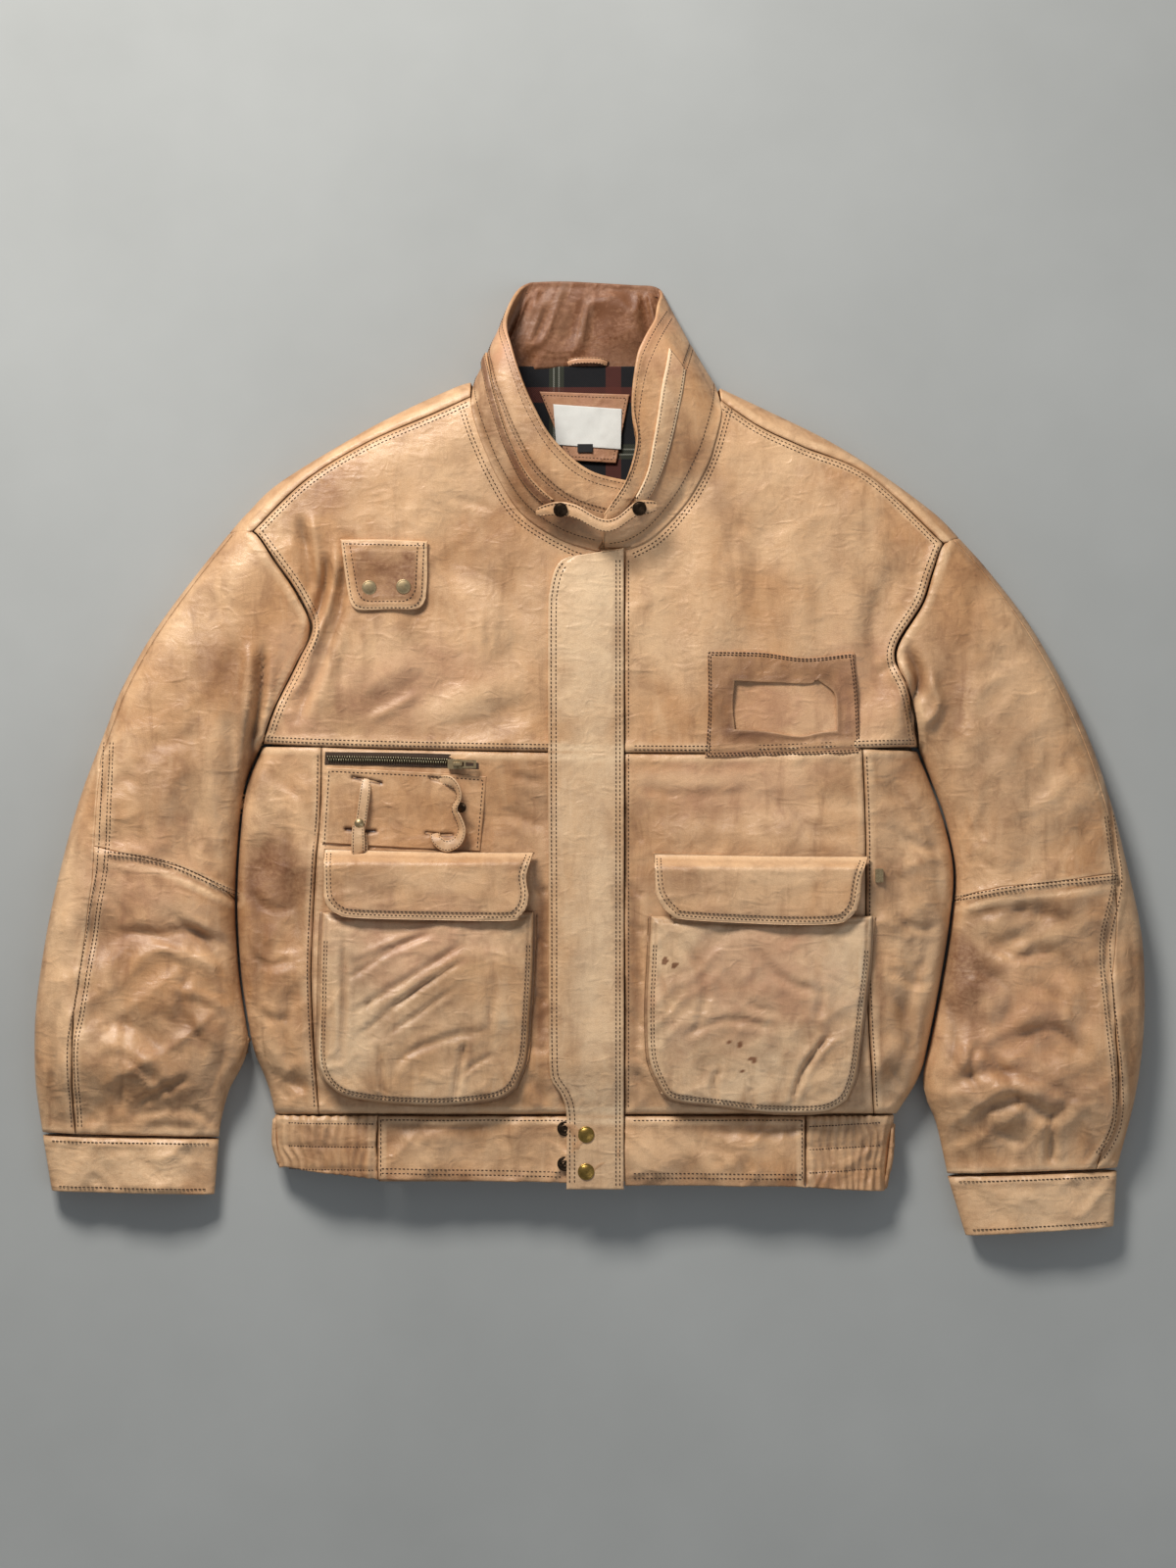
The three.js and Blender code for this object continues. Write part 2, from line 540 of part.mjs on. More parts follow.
// Its free edge, from the hem up: Y, X.
const PLACKET_EDGE = [[-368, -20], [-340, -20], [-306, -20], [-290, -24], [-276, -33], [-262, -35],
  [-140, -35], [0, -36], [125, -36], [150, -32], [168, -24], [178, -14]];
const placketGrid = PLACKET_EDGE.map(([y, edge]) => [edge, mix(edge, PLACKET_SEAM, 0.5), PLACKET_SEAM]
  .map((x) => skin([x, y], 1)));
add('placket', wall(placketGrid, { thickness: PLACKET_THICK, lift: LIFT + PLACKET_THICK, seam: 0 }),
  paleLeather);

// ---------------------------------------------------------------- collar
// Each rib of the collar runs from the neck seam to the top edge; a rib's foot on the body stands on it.
const onBody = (x, y) => [x, y, upperHeight(x, y) + WALL + 1];
const COLLAR_RIBS = [
  [onBody(7, 187), [26, 250, 60]],
  [onBody(-26, 199), [-6, 258, 61]],
  [onBody(-57, 221), [-30, 279, 61]],
  [onBody(-77, 252), [-48, 309, 59]],
  [onBody(-91, 284), [-60, 338, 55]],
  [onBody(-99, 309), [-68, 364, 46]],
  [[-101, 323, 27], [-74, 386, 30]],
  [[-99, 334, 13], [-67, 405, 13]],
  [[-90, 339, 3], [-58, 413, 3]],
  [[-80, 341, 0], [-47, 414.5, 0]],
  [[-50, 342, 0], [-22, 415, 0]],
  [[0, 345, 0], [8, 414, 0]],
  [[54, 342, 0], [42, 412, 0]],
  [[90, 338, 0], [58, 411, 0]],
  [[100, 336, 3], [66, 408, 3]],
  [[110, 330, 13], [67, 401, 13]],
  [[112, 320, 27], [62, 392, 28]],
  [onBody(110, 305), [55, 381, 41]],
  [onBody(104, 282), [47, 366, 50]],
  [onBody(97, 262), [41, 349, 56]],
  [onBody(80, 231), [37, 312, 61]],
  [onBody(56, 203), [42, 281, 64]],
  [onBody(35, 190), [33, 246, 65]],
  [onBody(12, 188), [13, 215, 64]],
];
const COLLAR_BULGE = 5;        // how far the standing part swells between seam and edge

// The collar's face at a rib (whole or part) and a share of the way up.
function collarPoint(rib, up) {
  const i = Math.min(COLLAR_RIBS.length - 2, Math.floor(rib));
  const [a, b] = [COLLAR_RIBS[i], COLLAR_RIBS[i + 1]]
    .map(([foot, edge]) => mixPoint(foot, edge, up));
  const point = new THREE.Vector3(...mixPoint(a, b, rib - i));
  point.z += COLLAR_BULGE * Math.sin(Math.PI * up) * smoothStep(14, 45, point.z);
  return point;
}

// Points with normals taken across their neighbours.
function faceted(points) {
  return points.map((row, j) => row.map((point, i) => {
    const along = row[Math.min(i + 1, row.length - 1)].clone().sub(row[Math.max(i - 1, 0)]);
    const up = points[Math.min(j + 1, points.length - 1)][i].clone().sub(points[Math.max(j - 1, 0)][i]);
    return { point, normal: up.cross(along).normalize() };
  }));
}

const ribs = COLLAR_RIBS.map((_, i) => i);
add('collar', wall(faceted(steps(4).map((up) => ribs.map((rib) => collarPoint(rib, up))))), leather);

function collarStrap(name, stations) {
  const halfWidth = 0.09;
  const grid = faceted([-halfWidth, 0, halfWidth]
    .map((offset) => stations.map(([rib, up]) => collarPoint(rib, up + offset))));
  add(name, wall(grid, { thickness: THIN, lift: THIN + 1.2, seam: 0 }), darkLeather);
}

collarStrap('collar_strap_left', [[1.6, 0.33], [2, 0.34], [3, 0.38], [4, 0.42], [5, 0.44], [5.6, 0.45]]);
collarStrap('collar_strap_right', [[17.3, 0.7], [18, 0.68], [19, 0.63], [20, 0.56], [21, 0.5], [21.6, 0.46]]);

// The tab's middle line and width: X, Y, width, Z.
const THROAT_TAB = [[-43, 221, 8, 61], [-29, 221, 11, 61], [-12, 219, 10, 62], [4, 210, 9, 68],
  [23, 208, 9, 70], [37, 214, 12, 70], [48, 219, 14, 68], [58, 222, 9, 66]];
add('throat_tab', wall(faceted([-0.5, 0, 0.5].map((across) => THROAT_TAB
  .map(([x, y, width, z]) => new THREE.Vector3(x, y + width * across, z)))), { thickness: THIN, seam: 0 }),
leather);
const THROAT_SNAP = 6;         // radius
add('throat_snap_left', disc(-26, 221, 65, THROAT_SNAP, SNAP_PROFILE), bronze);
add('throat_snap_right', disc(42, 217, 72, THROAT_SNAP, SNAP_PROFILE), bronze);

// ---------------------------------------------------------------- inside the neck
const LINING_TOP = 5;
const ON_LINING = LINING_TOP + 0.4;
const PATCH_THICK = 1.2;
const LABEL_THICK = 0.6;
const ON_LABEL_PATCH = ON_LINING + PATCH_THICK + 0.4;
add('lining_back', slab(outline([[-56, 338], [58, 338], [70, 292], [60, 222], [-58, 222], [-66, 292]]),
  WALL + 0.5, LINING_TOP), plaid);
add('label_patch', slab(outline([[-43, 324], [36, 321], [23, 263], [-19, 266]]),
  ON_LINING, ON_LINING + PATCH_THICK), leather);
add('label', slab(outline([[-31, 314], [29, 309], [28, 274], [-29, 278]]),
  ON_LABEL_PATCH, ON_LABEL_PATCH + LABEL_THICK), paper);
add('size_tag', slab(outline([[-10, 262], [4, 262], [4, 254], [-10, 254]]),
  ON_LINING, ON_LINING + LABEL_THICK), bronze);
add('hanger_loop', slab(outline([[-19, 352, 2], [16, 352, 2], [16, 346, 2], [-19, 346, 2]]),
  WALL + 0.5, WALL + 0.5 + THIN), leather);

// ---------------------------------------------------------------- left chest
const ON_BODY = BODY_HEIGHT + LIFT;
const FLAP_TOP = ON_BODY + 4;
const CHEST_SNAP = 6.4;        // radius
add('chest_flap', slab(outline([[-216, 194, 2], [-139, 192, 2], [-143, 134, 8], [-207, 131, 8]]),
  ON_BODY, FLAP_TOP), leather);
add('chest_snap_left', disc(-190, 151, FLAP_TOP + 0.4, CHEST_SNAP, SNAP_PROFILE), antique);
add('chest_snap_right', disc(-161, 152, FLAP_TOP + 0.4, CHEST_SNAP, SNAP_PROFILE), antique);

const ZIP_TOP = ON_BODY + 2;
add('chest_zip', slab(outline([[-228, 8.5], [-97, 4], [-97, -8], [-228, -1]]), ON_BODY, ZIP_TOP), tape);

// The slider sits closed at the right end. Its pull tab hangs on a bail: the tab's root bar runs through
// the bail's eye, and the tab lies flat to the right.
const SLIDER = { x: -116, y: -1.5, length: 13, width: 8.5, height: 3.4 };
const SLIDER_TOP = ZIP_TOP + 0.4 + SLIDER.height;
const PULL = { x: SLIDER.x + 4.1, z: SLIDER_TOP + 2.2, reach: 14.3, width: 7, bar: 0.7, pin: 0.9 };

// A rectangle of the plan about a point, from its sides' distances.
const box = ([x, y], [west, east, south, north], radius = 0) => [[x - west, y - south, radius],
  [x + east, y - south, radius], [x + east, y + north, radius], [x - west, y + north, radius]];

const sliderSides = [SLIDER.length / 2, SLIDER.length / 2, SLIDER.width / 2, SLIDER.width / 2];
const sliderBody = slab(outline(box([SLIDER.x, SLIDER.y], sliderSides, 1.5)), ZIP_TOP + 0.4, SLIDER_TOP);
const bailSide = outline(box([0, 0], [6, 2.3, 2.5, 2.3], 0.6));
bailSide.holes.push(outline(box([0, 0], [1.4, 1.4, 1.4, 1.4])));
const bail = new THREE.ExtrudeGeometry(bailSide, { depth: 2.6, bevelEnabled: false, curveSegments: 2 })
  .rotateX(Math.PI / 2).translate(PULL.x, SLIDER.y + 1.3, PULL.z);
add('zip_slider', joined(sliderBody, bail), antique);

const pullSides = [0, PULL.reach, PULL.width / 2, PULL.width / 2];
const pullFrame = outline(box([PULL.x, SLIDER.y], pullSides, 0.6));
pullFrame.holes.push(
  outline(box([PULL.x, SLIDER.y], [-0.3, 3.7, 1.9, 1.9])),
  outline(box([PULL.x, SLIDER.y], [-5.2, 12.2, 1.7, 1.7])),
);
const pullPin = new THREE.CylinderGeometry(PULL.pin, PULL.pin, PULL.width, 16)
  .translate(PULL.x, SLIDER.y, PULL.z);
add('zip_pull', joined(slab(pullFrame, PULL.z - PULL.bar, PULL.z + PULL.bar, 3), pullPin), antique);

const PATCH_TOP = ON_BODY + THIN;
add('utility_patch', slab(outline([[-230, -3], [-86, -11], [-94, -72], [-232, -68]]),
  ON_BODY, PATCH_TOP), leather);

// The first loop lies along the patch and hangs past its lower edge, arched clear of it.
const ARCH = [[-14, 0.5], [-20, 1.6], [-40, 2.6], [-60, 2.2], [-68, 1]];
const archSection = [...ARCH.map(([y, rise]) => [y, PATCH_TOP + rise]),
  ...ARCH.slice().reverse().map(([y, rise]) => [y, PATCH_TOP + rise + THIN])];
add('strap_loop_1', bar(archSection, -203, -193), paleLeather);
add('loop_rivet', disc(-198, -52, PATCH_TOP + 4.9, 4.2, SNAP_PROFILE), antique);

// The second loop stands on edge, curled into a C.
const CURL = [[-124, -15], [-115, -20], [-111, -32], [-112, -46], [-116, -58], [-124, -64], [-131, -60]];
const curlGrid = faceted([0.5, 8].map((rise) => steps(9)
  .map((share) => new THREE.Vector3(...route(CURL)(share), PATCH_TOP + rise))));
add('strap_loop_2', wall(curlGrid, { thickness: THIN, seam: 0 }), paleLeather);

// ---------------------------------------------------------------- right chest
const windowFrame = outline([[100, 4, 2], [235, 7, 2], [230, 95, 2], [188, 93], [102, 97, 2]]);
windowFrame.holes.push(outline([[126, 28, 3], [182, 23], [214, 27, 3], [212, 69, 3], [126, 71, 3]]));
add('window_patch', slab(windowFrame, ON_BODY, ON_BODY + 2.4), darkLeather);

// ---------------------------------------------------------------- pockets
const POCKET_LOW = BODY_HEIGHT + POCKET_DEPTH + 0.4;
const FLAP_LOW = POCKET_LOW + 5.4;
const CLEAR = 120;             // a height above everything
// What is above the fronts: level, then down the slope to the waistband.
const aboveFront = (from, to) => bar([[200, ON_BODY], [HEM_SLOPE[0], ON_BODY],
  [HEM_SLOPE[1], HEM_HEIGHT + LIFT], [-330, HEM_HEIGHT + LIFT], [-330, CLEAR], [200, CLEAR]], from, to);

function inset(points, distance) {
  const shape = outline(points).getPoints(4);
  const middle = new THREE.Box2().setFromPoints(shape).getCenter(new THREE.Vector2());
  const size = new THREE.Box2().setFromPoints(shape).getSize(new THREE.Vector2());
  return shape.map((point) => [
    middle.x + (point.x - middle.x) * (1 - 2 * distance / size.x),
    middle.y + (point.y - middle.y) * (1 - 2 * distance / size.y),
  ]);
}

// A bellows pocket: a crowned front, on a gusset that runs down one side, under it and up the other.
function makePocket(side, front, flap, flapTop) {
  const [low, high] = [-310, front[0][1] + 5];
  const crown = steps(8).map((share) => [mix(low, high, share),
    POCKET_LOW + WALL + 2 * Math.sin(Math.PI * share)]);
  const left = Math.min(...front.map(([x]) => x)) - 10;
  const right = Math.max(...front.map(([x]) => x)) + 10;
  add(`pocket_${side}`, common(
    slab(outline(front), POCKET_LOW, POCKET_LOW + 10),
    bar([[low, POCKET_LOW - 1], ...crown, [high, POCKET_LOW - 1]], left, right),
  ), paleLeather);

  const band = outline(inset(front, 0.5));
  const ring = cut(
    slab(band, HEM_HEIGHT, POCKET_LOW - 0.4),
    slab(outline(inset(front, 0.5 + THIN)), HEM_HEIGHT - 1, POCKET_LOW + 1),
  );
  const rim = front[0][1] - 6;
  const mouth = slab(outline([[left, rim], [right, rim], [right, 0], [left, 0]]), 0, CLEAR);
  add(`pocket_gusset_${side}`, common(cut(ring, mouth), aboveFront(left, right)), leather);

  const fall = flapTop - 18;
  const lift = FLAP_LOW + WALL;
  add(`flap_${side}`, common(
    slab(outline(flap), ON_BODY, CLEAR),
    bar([[flapTop + 6, ON_BODY], [flapTop + 6, ON_BODY + WALL], [flapTop - 3, ON_BODY + WALL],
      [fall - 2, lift], [-200, lift], [-200, FLAP_LOW], [fall, FLAP_LOW],
      [flapTop - 5, ON_BODY]], left, right),
  ), leather);
}

makePocket('left',
  [[-231, -97], [-48, -97], [-51, -217], [-54, -262, 20], [-80, -293, 20], [-120, -297], [-178, -295],
    [-212, -290, 14], [-235, -265, 14], [-235, -231]],
  [[-230, -74, 2], [-47, -77, 2], [-51, -137, 14], [-120, -138], [-224, -133, 14]],
  -75);
makePocket('right',
  [[55, -101], [236, -101], [247, -138], [239, -213], [228, -290, 22], [203, -303], [158, -303], [114, -298],
    [66, -290, 20], [50, -213]],
  [[55, -78, 2], [243, -81, 2], [229, -141, 14], [167, -143], [66, -138, 14]],
  -79);
add('side_zip_slider', slab(outline([[248, -92, 1], [255, -92, 1], [255, -104, 1], [248, -104, 1]]),
  ON_BODY, ON_BODY + 4), antique);

// ---------------------------------------------------------------- closing snaps
const ON_PLACKET = HEM_HEIGHT + LIFT + PLACKET_THICK + 0.4;
const ON_BAND = HEM_HEIGHT + LIFT;
const HEM_SNAP = 7.2;          // radius
const SOCKET = 6.4;            // radius
for (const [name, y] of [['hem_snap_upper', -323], ['hem_snap_lower', -355]]) {
  add(name, disc(-3, y, ON_PLACKET, HEM_SNAP, SNAP_PROFILE), brass);
}
for (const [name, y] of [['socket_snap_upper', -318], ['socket_snap_lower', -348]]) {
  add(name, disc(-28, y, ON_BAND, SOCKET, SOCKET_PROFILE), brass);
}

export default jacket;
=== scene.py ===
# The worn leather jacket: its looks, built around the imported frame.
# Plan sizes are in millimetres, X across and Y from hem to collar, as in the part's own frame.

import math

import bpy
import numpy as np
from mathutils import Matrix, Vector


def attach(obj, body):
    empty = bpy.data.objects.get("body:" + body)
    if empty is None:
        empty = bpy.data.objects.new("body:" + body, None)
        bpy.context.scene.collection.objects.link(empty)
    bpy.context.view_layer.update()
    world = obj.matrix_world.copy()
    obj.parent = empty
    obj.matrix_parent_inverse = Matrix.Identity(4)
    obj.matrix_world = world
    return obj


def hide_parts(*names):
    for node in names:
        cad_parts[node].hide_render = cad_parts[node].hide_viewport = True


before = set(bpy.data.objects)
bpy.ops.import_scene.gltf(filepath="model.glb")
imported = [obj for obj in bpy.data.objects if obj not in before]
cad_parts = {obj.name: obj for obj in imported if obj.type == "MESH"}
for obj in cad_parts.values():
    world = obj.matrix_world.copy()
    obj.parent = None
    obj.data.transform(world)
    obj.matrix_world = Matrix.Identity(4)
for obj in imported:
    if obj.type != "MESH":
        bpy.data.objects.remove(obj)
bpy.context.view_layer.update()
MM = 0.001
CENTRE = np.array([-0.5, -1.0, 0.0])  # moves the outline's middle onto the origin, as in the part's own file
UP = np.array([0.0, 0.0, 1.0])
ROUTE_STEPS = 24  # straight steps between two points of a rounded line
SEAM_GAP = 0.15  # each piece keeps this far back from its seam
RIM_ARCS = 3  # points round the rounded edge of a piece

# ------------------------------------------------------------------ camera, light and floor
scene = bpy.context.scene
camera = bpy.data.objects.new("camera", bpy.data.cameras.new("camera"))
scene.collection.objects.link(camera)
camera.data.lens = 104.8
camera.data.sensor_width = 36.0
camera.location = (-0.00135, -0.0197, 4.0)
camera.rotation_euler = (0.0, 0.0, 0.0)
scene.camera = camera


def area_light(name, location, target, size, power, colour):
    light = bpy.data.lights.new(name, "AREA")
    light.shape = "RECTANGLE"
    light.size, light.size_y = size
    light.energy = power
    light.color = colour
    lamp = bpy.data.objects.new(name, light)
    scene.collection.objects.link(lamp)
    lamp.location = location
    aim = Vector(target) - Vector(location)
    lamp.rotation_euler = aim.to_track_quat("-Z", "Y").to_euler()


area_light("key", (-0.9, 1.9, 1.5), (0, 0, 0), (0.9, 0.6), 78, (1.0, 0.98, 0.95))
area_light("fill", (1.6, -1.2, 2.0), (0, 0, 0), (2.4, 2.0), 9, (0.95, 0.975, 1.0))
world = bpy.data.worlds.new("studio")
scene.world = world
world.use_nodes = True
world.node_tree.nodes["Background"].inputs["Color"].default_value = (0.86, 0.92, 1.0, 1)
world.node_tree.nodes["Background"].inputs["Strength"].default_value = 0.24
scene.view_settings.view_transform = "Standard"


# ------------------------------------------------------------------ curves in the plan
def spline(points, t):
    """A smooth curve through points, by their index."""
    p = np.asarray(points, float)
    t = np.clip(t, 0, len(p) - 1)
    i = np.minimum(t.astype(int), len(p) - 2)
    f = (t - i)[..., None]
    a, b, c, d = p[np.maximum(i - 1, 0)], p[i], p[i + 1], p[np.minimum(i + 2, len(p) - 1)]
    v0, v1 = (c - a) / 2, (d - b) / 2
    return (2 * b - 2 * c + v0 + v1) * f**3 + (3 * c - 3 * b - 2 * v0 - v1) * f**2 + v0 * f + b


def route(points, rounded=True):
    """The points of a line by the share of its length."""
    p = np.array(points, float)
    if rounded and len(p) > 2:
        p = spline(p, np.linspace(0, len(p) - 1, (len(p) - 1) * ROUTE_STEPS + 1))
    length = np.concatenate([[0], np.cumsum(np.linalg.norm(np.diff(p, axis=0), axis=1))])
    share = length / length[-1]

    def at(s):
        return np.stack([np.interp(s, share, p[:, k]) for k in range(p.shape[1])], -1)

    at.length = length[-1]
    return at


def straight(points):
    return route(points, False)


def part(line, start, end):
    return lambda s: line(start + (end - start) * np.asarray(s, float))


def chain(first, second, share):
    def at(s):
        s = np.asarray(s, float)[..., None]
        low = first(np.clip(s[..., 0] / share, 0, 1))
        high = second(np.clip((s[..., 0] - share) / (1 - share), 0, 1))
        return np.where(s < share, low, high)
    return at


def share_near(line, point):
    s = np.linspace(0, 1, 2001)
    return s[np.argmin(np.linalg.norm(line(s) - np.array(point), axis=1))]


def coons(low, high, left, right):
    """The plan point at (u, v) of the region between four lines."""
    def at(u, v):
        u, v = np.broadcast_arrays(np.asarray(u, float), np.asarray(v, float))
        a, b = u[..., None], v[..., None]
        corner = [low(np.array([0.0]))[0], low(np.array([1.0]))[0],
                  high(np.array([0.0]))[0], high(np.array([1.0]))[0]]
        return ((1 - b) * low(u) + b * high(u) + (1 - a) * left(v) + a * right(v)
                - (1 - a) * (1 - b) * corner[0] - a * (1 - b) * corner[1]
                - (1 - a) * b * corner[2] - a * b * corner[3])
    return at


def grid(region, columns, rows):
    u, v = np.meshgrid(columns, rows)
    return region(u, v)


def smooth(low, high, value):
    f = np.clip((value - low) / (high - low), 0, 1)
    return f * f * (3 - 2 * f)


def line_gap(xy, line):
    """Each point's distance to a line of points, and the share along it."""
    best = np.full(len(xy), 1e9)
    share = np.zeros(len(xy))
    for i in range(len(line) - 1):
        a, d = line[i], line[i + 1] - line[i]
        f = np.clip(((xy[:, 0] - a[0]) * d[0] + (xy[:, 1] - a[1]) * d[1]) / (d @ d), 0, 1)
        x, y = xy[:, 0] - a[0] - f * d[0], xy[:, 1] - a[1] - f * d[1]
        gap = x * x + y * y
        near = gap < best
        best = np.where(near, gap, best)
        share = np.where(near, (i + f) / (len(line) - 1), share)
    return np.sqrt(best), share


def noise(xy, size, seed):
    """Smooth noise, about -1 to 1, with cells of a given size."""
    table = np.random.default_rng(seed).uniform(-1, 1, (64, 64))
    x, y = xy[..., 0] / size + 200, xy[..., 1] / size + 200
    i, j = np.floor(x).astype(int), np.floor(y).astype(int)
    fx, fy = x - i, y - j
    fx, fy = fx * fx * fx * (fx * (6 * fx - 15) + 10), fy * fy * fy * (fy * (6 * fy - 15) + 10)
    pick = lambda a, b: table[(i + a) % 64, (j + b) % 64]
    return ((pick(0, 0) * (1 - fx) + pick(1, 0) * fx) * (1 - fy)
            + (pick(0, 1) * (1 - fx) + pick(1, 1) * fx) * fy)


def turned(xy, degrees, stretch=1.0):
    """Points turned about the origin, then squeezed across, for noise with a direction."""
    a = math.radians(degrees)
    along = xy[..., 0] * math.cos(a) + xy[..., 1] * math.sin(a)
    across = -xy[..., 0] * math.sin(a) + xy[..., 1] * math.cos(a)
    return np.stack([along / stretch, across], -1)


# ------------------------------------------------------------------ the jacket's lines
SHOULDER_FOLD_L = [[-103, 332], [-118, 327], [-158, 309], [-202, 286], [-269, 245], [-298, 218],
    [-314, 200]]
SHOULDER_FOLD_R = [[114, 327], [152, 309], [209, 281], [255, 252], [301, 218], [323, 196]]
SHOULDER_SEAM_L = [[-103, 318], [-136, 303], [-194, 278], [-246, 246], [-292, 201]]
SHOULDER_SEAM_R = [[115, 315], [148, 292], [187, 274], [244, 250], [308, 190]]
ARMHOLE_L = [[-292, 201], [-271, 173], [-252, 145], [-241, 117], [-253, 88], [-271, 51],
    [-284, 16]]
ARMHOLE_R = [[308, 190], [298, 165], [289, 138], [269, 106], [266, 88], [276, 66], [282, 42],
    [286, 13]]
SLEEVE_OUTER_L = [[-314, 200], [-349, 156], [-383, 109], [-409, 62], [-422, 28], [-443, -27], [-460, -87],
    [-473, -146], [-482, -206], [-484, -240], [-483, -282], [-477, -323]]
SLEEVE_OUTER_R = [[323, 196], [348, 168], [382, 124], [411, 75], [437, 20], [456, -36], [471, -95],
    [482, -146], [485, -189], [484, -240], [477, -291], [461, -354]]
SIDE_FOLD_L = [[-284, 14], [-298, -19], [-304, -61], [-307, -121], [-304, -180], [-298, -223],
    [-292, -252], [-280, -282], [-274, -307]]
SIDE_FOLD_R = [[286, 10], [298, -19], [310, -53], [318, -95], [315, -138], [307, -189], [297, -240],
    [288, -274], [268, -307]]
SLEEVE_INNER_L = [[-286, 14], [-300, -19], [-306, -61], [-309, -121], [-306, -180], [-300, -223],
    [-297, -246], [-303, -265], [-314, -286], [-321, -312], [-323, -327]]
SLEEVE_INNER_R = [[288, 11], [300, -19], [312, -53], [320, -95], [317, -138], [309, -189], [299, -240],
    [292, -272], [294, -292], [303, -315], [313, -359]]
CUFF_L = [[[-477, -325], [-469, -374]], [[-323, -328], [-327, -377]]]
CUFF_R = [[[461, -356], [458, -405]], [[313, -361], [329, -413]]]
SIDE_SEAM_L = [[-235, -306], [-241, -189], [-237, -90], [-233, -40], [-232, 13.5]]
SIDE_SEAM_R = [[248, -306], [241, -189], [240, -61], [237, 12]]
UNDER_SEAM_L = [[-214, -306], [-236, -200], [-256, -90], [-278.5, 14]]
UNDER_SEAM_R = [[206, -306], [234, -200], [258, -90], [282.5, 11]]
BACK_TOP = [[-292, 201], [-258, 230], [-197, 270], [-152, 294], [-112, 312], [-86, 330], [-52, 338],
    [0, 341], [54, 338], [94, 329], [108, 312], [146, 295], [202, 266], [246, 238], [308, 190]]
ROLL_END_L = [[-92, 314], [-150, 284], [-195, 258], [-256, 218], [-288, 201]]
ROLL_END_R = [[104, 312], [146, 285], [200, 258], [244, 230], [302, 188]]
YOKE_SEAM_L = [[-284, 16], [-232, 13.5], [-145, 11], [28, 8]]
YOKE_SEAM_R = [[31, 8], [135, 8], [237, 12], [286, 13]]
NECK_L = [[28, 185], [6, 185], [-26, 198], [-58, 220], [-78, 251], [-93, 284], [-101, 308],
    [-103, 318]]
NECK_R = [[31, 186], [57, 201], [82, 230], [100, 264], [111, 300], [115, 315]]
SLEEVE_SEAM_L = [[-419.1, 39.9], [-419.9, -14.4], [-423.3, -85], [-430.9, -131.8], [-442.8, -209.9],
                 [-448.8, -249], [-447.1, -321.3]]
ELBOW_SEAM_L = [[-417.3, -83.3], [-365.5, -92.6], [-306.8, -119.8]]
SLEEVE_SEAM_R = [[450.5, -18.7], [457.3, -73.1], [459.8, -106.2], [449.6, -156.4], [453.9, -219.3],
                 [460.7, -281.3], [459, -319.6], [442, -349.3]]
ELBOW_SEAM_R = [[319.6, -123.2], [379.1, -112.2], [460.7, -104.5]]
CUFF_TOP_L = [CUFF_L[0][0], CUFF_L[1][0]]
CUFF_TOP_R = [CUFF_R[0][0], CUFF_R[1][0]]

HEM_TOP, HEM_LOW = -307, -367
BAND_SPLIT_L, BAND_SPLIT_R = -184, 188
FRONT_EDGE, PLACKET_SEAM = 28, 30
FOLD_HEIGHT, BODY_HEIGHT, SLEEVE_HEIGHT, HEM_HEIGHT, CUFF_HEIGHT = 14, 42, 46, 33, 27
UPPER_ROLL, LOWER_ROLL = 48, 14
SHIRRING_ROWS = (-313.5, -333.5, -353.5)
FOLD_LINES = [route(points)(np.linspace(0, 1, 30)) for points in (
    SHOULDER_FOLD_L, SHOULDER_FOLD_R, SLEEVE_OUTER_L, SLEEVE_OUTER_R, SIDE_FOLD_L, SIDE_FOLD_R,
    SLEEVE_INNER_L, SLEEVE_INNER_R, CUFF_L[0], CUFF_L[1], CUFF_R[0], CUFF_R[1],
    [[-274, -307], [-273, -330], [-270, -350]], [[268, -307], [262, -330], [258, -374]])]


# ------------------------------------------------------------------ the form of the cloth
FOLD_DEPTH = 1.2
BROAD_FOLDS = [
    ([-110, 250], [-128, 60], 2.6, 22), ([-60, 160], [-72, 40], 2.2, 14), ([78, 220], [70, 60], 2.6, 18),
    ([150, 200], [138, 60], 2.6, 20), ([205, 190], [215, 60], 2.6, 18), ([-330, 130], [-372, 20], 4, 22),
    ([350, 130], [392, 0], 4, 24), ([-380, 40], [-420, -80], 3, 18), ([400, 20], [440, -80], 3, 18),
    ([-20, -40], [-232, -62], 2.4, 14), ([60, -42], [226, -34], 2.6, 13), ([90, -62], [226, -72], -1.6, 10),
    ([-265, -10], [-282, -90], 3.5, 13), ([262, -10], [288, -110], 3.5, 13),
    ([-232, 150], [-262, 60], 6, 16), ([262, 150], [240, 60], 5, 20),
    ([-430, -152], [-318, -164], 7, 20), ([-410, -220], [-330, -262], 5, 18),
    ([330, -150], [440, -178], 6, 22), ([330, -225], [430, -262], 6, 18),
    ([-290, -80], [-262, -160], 5, 18), ([292, -150], [262, -236], 5, 18)]

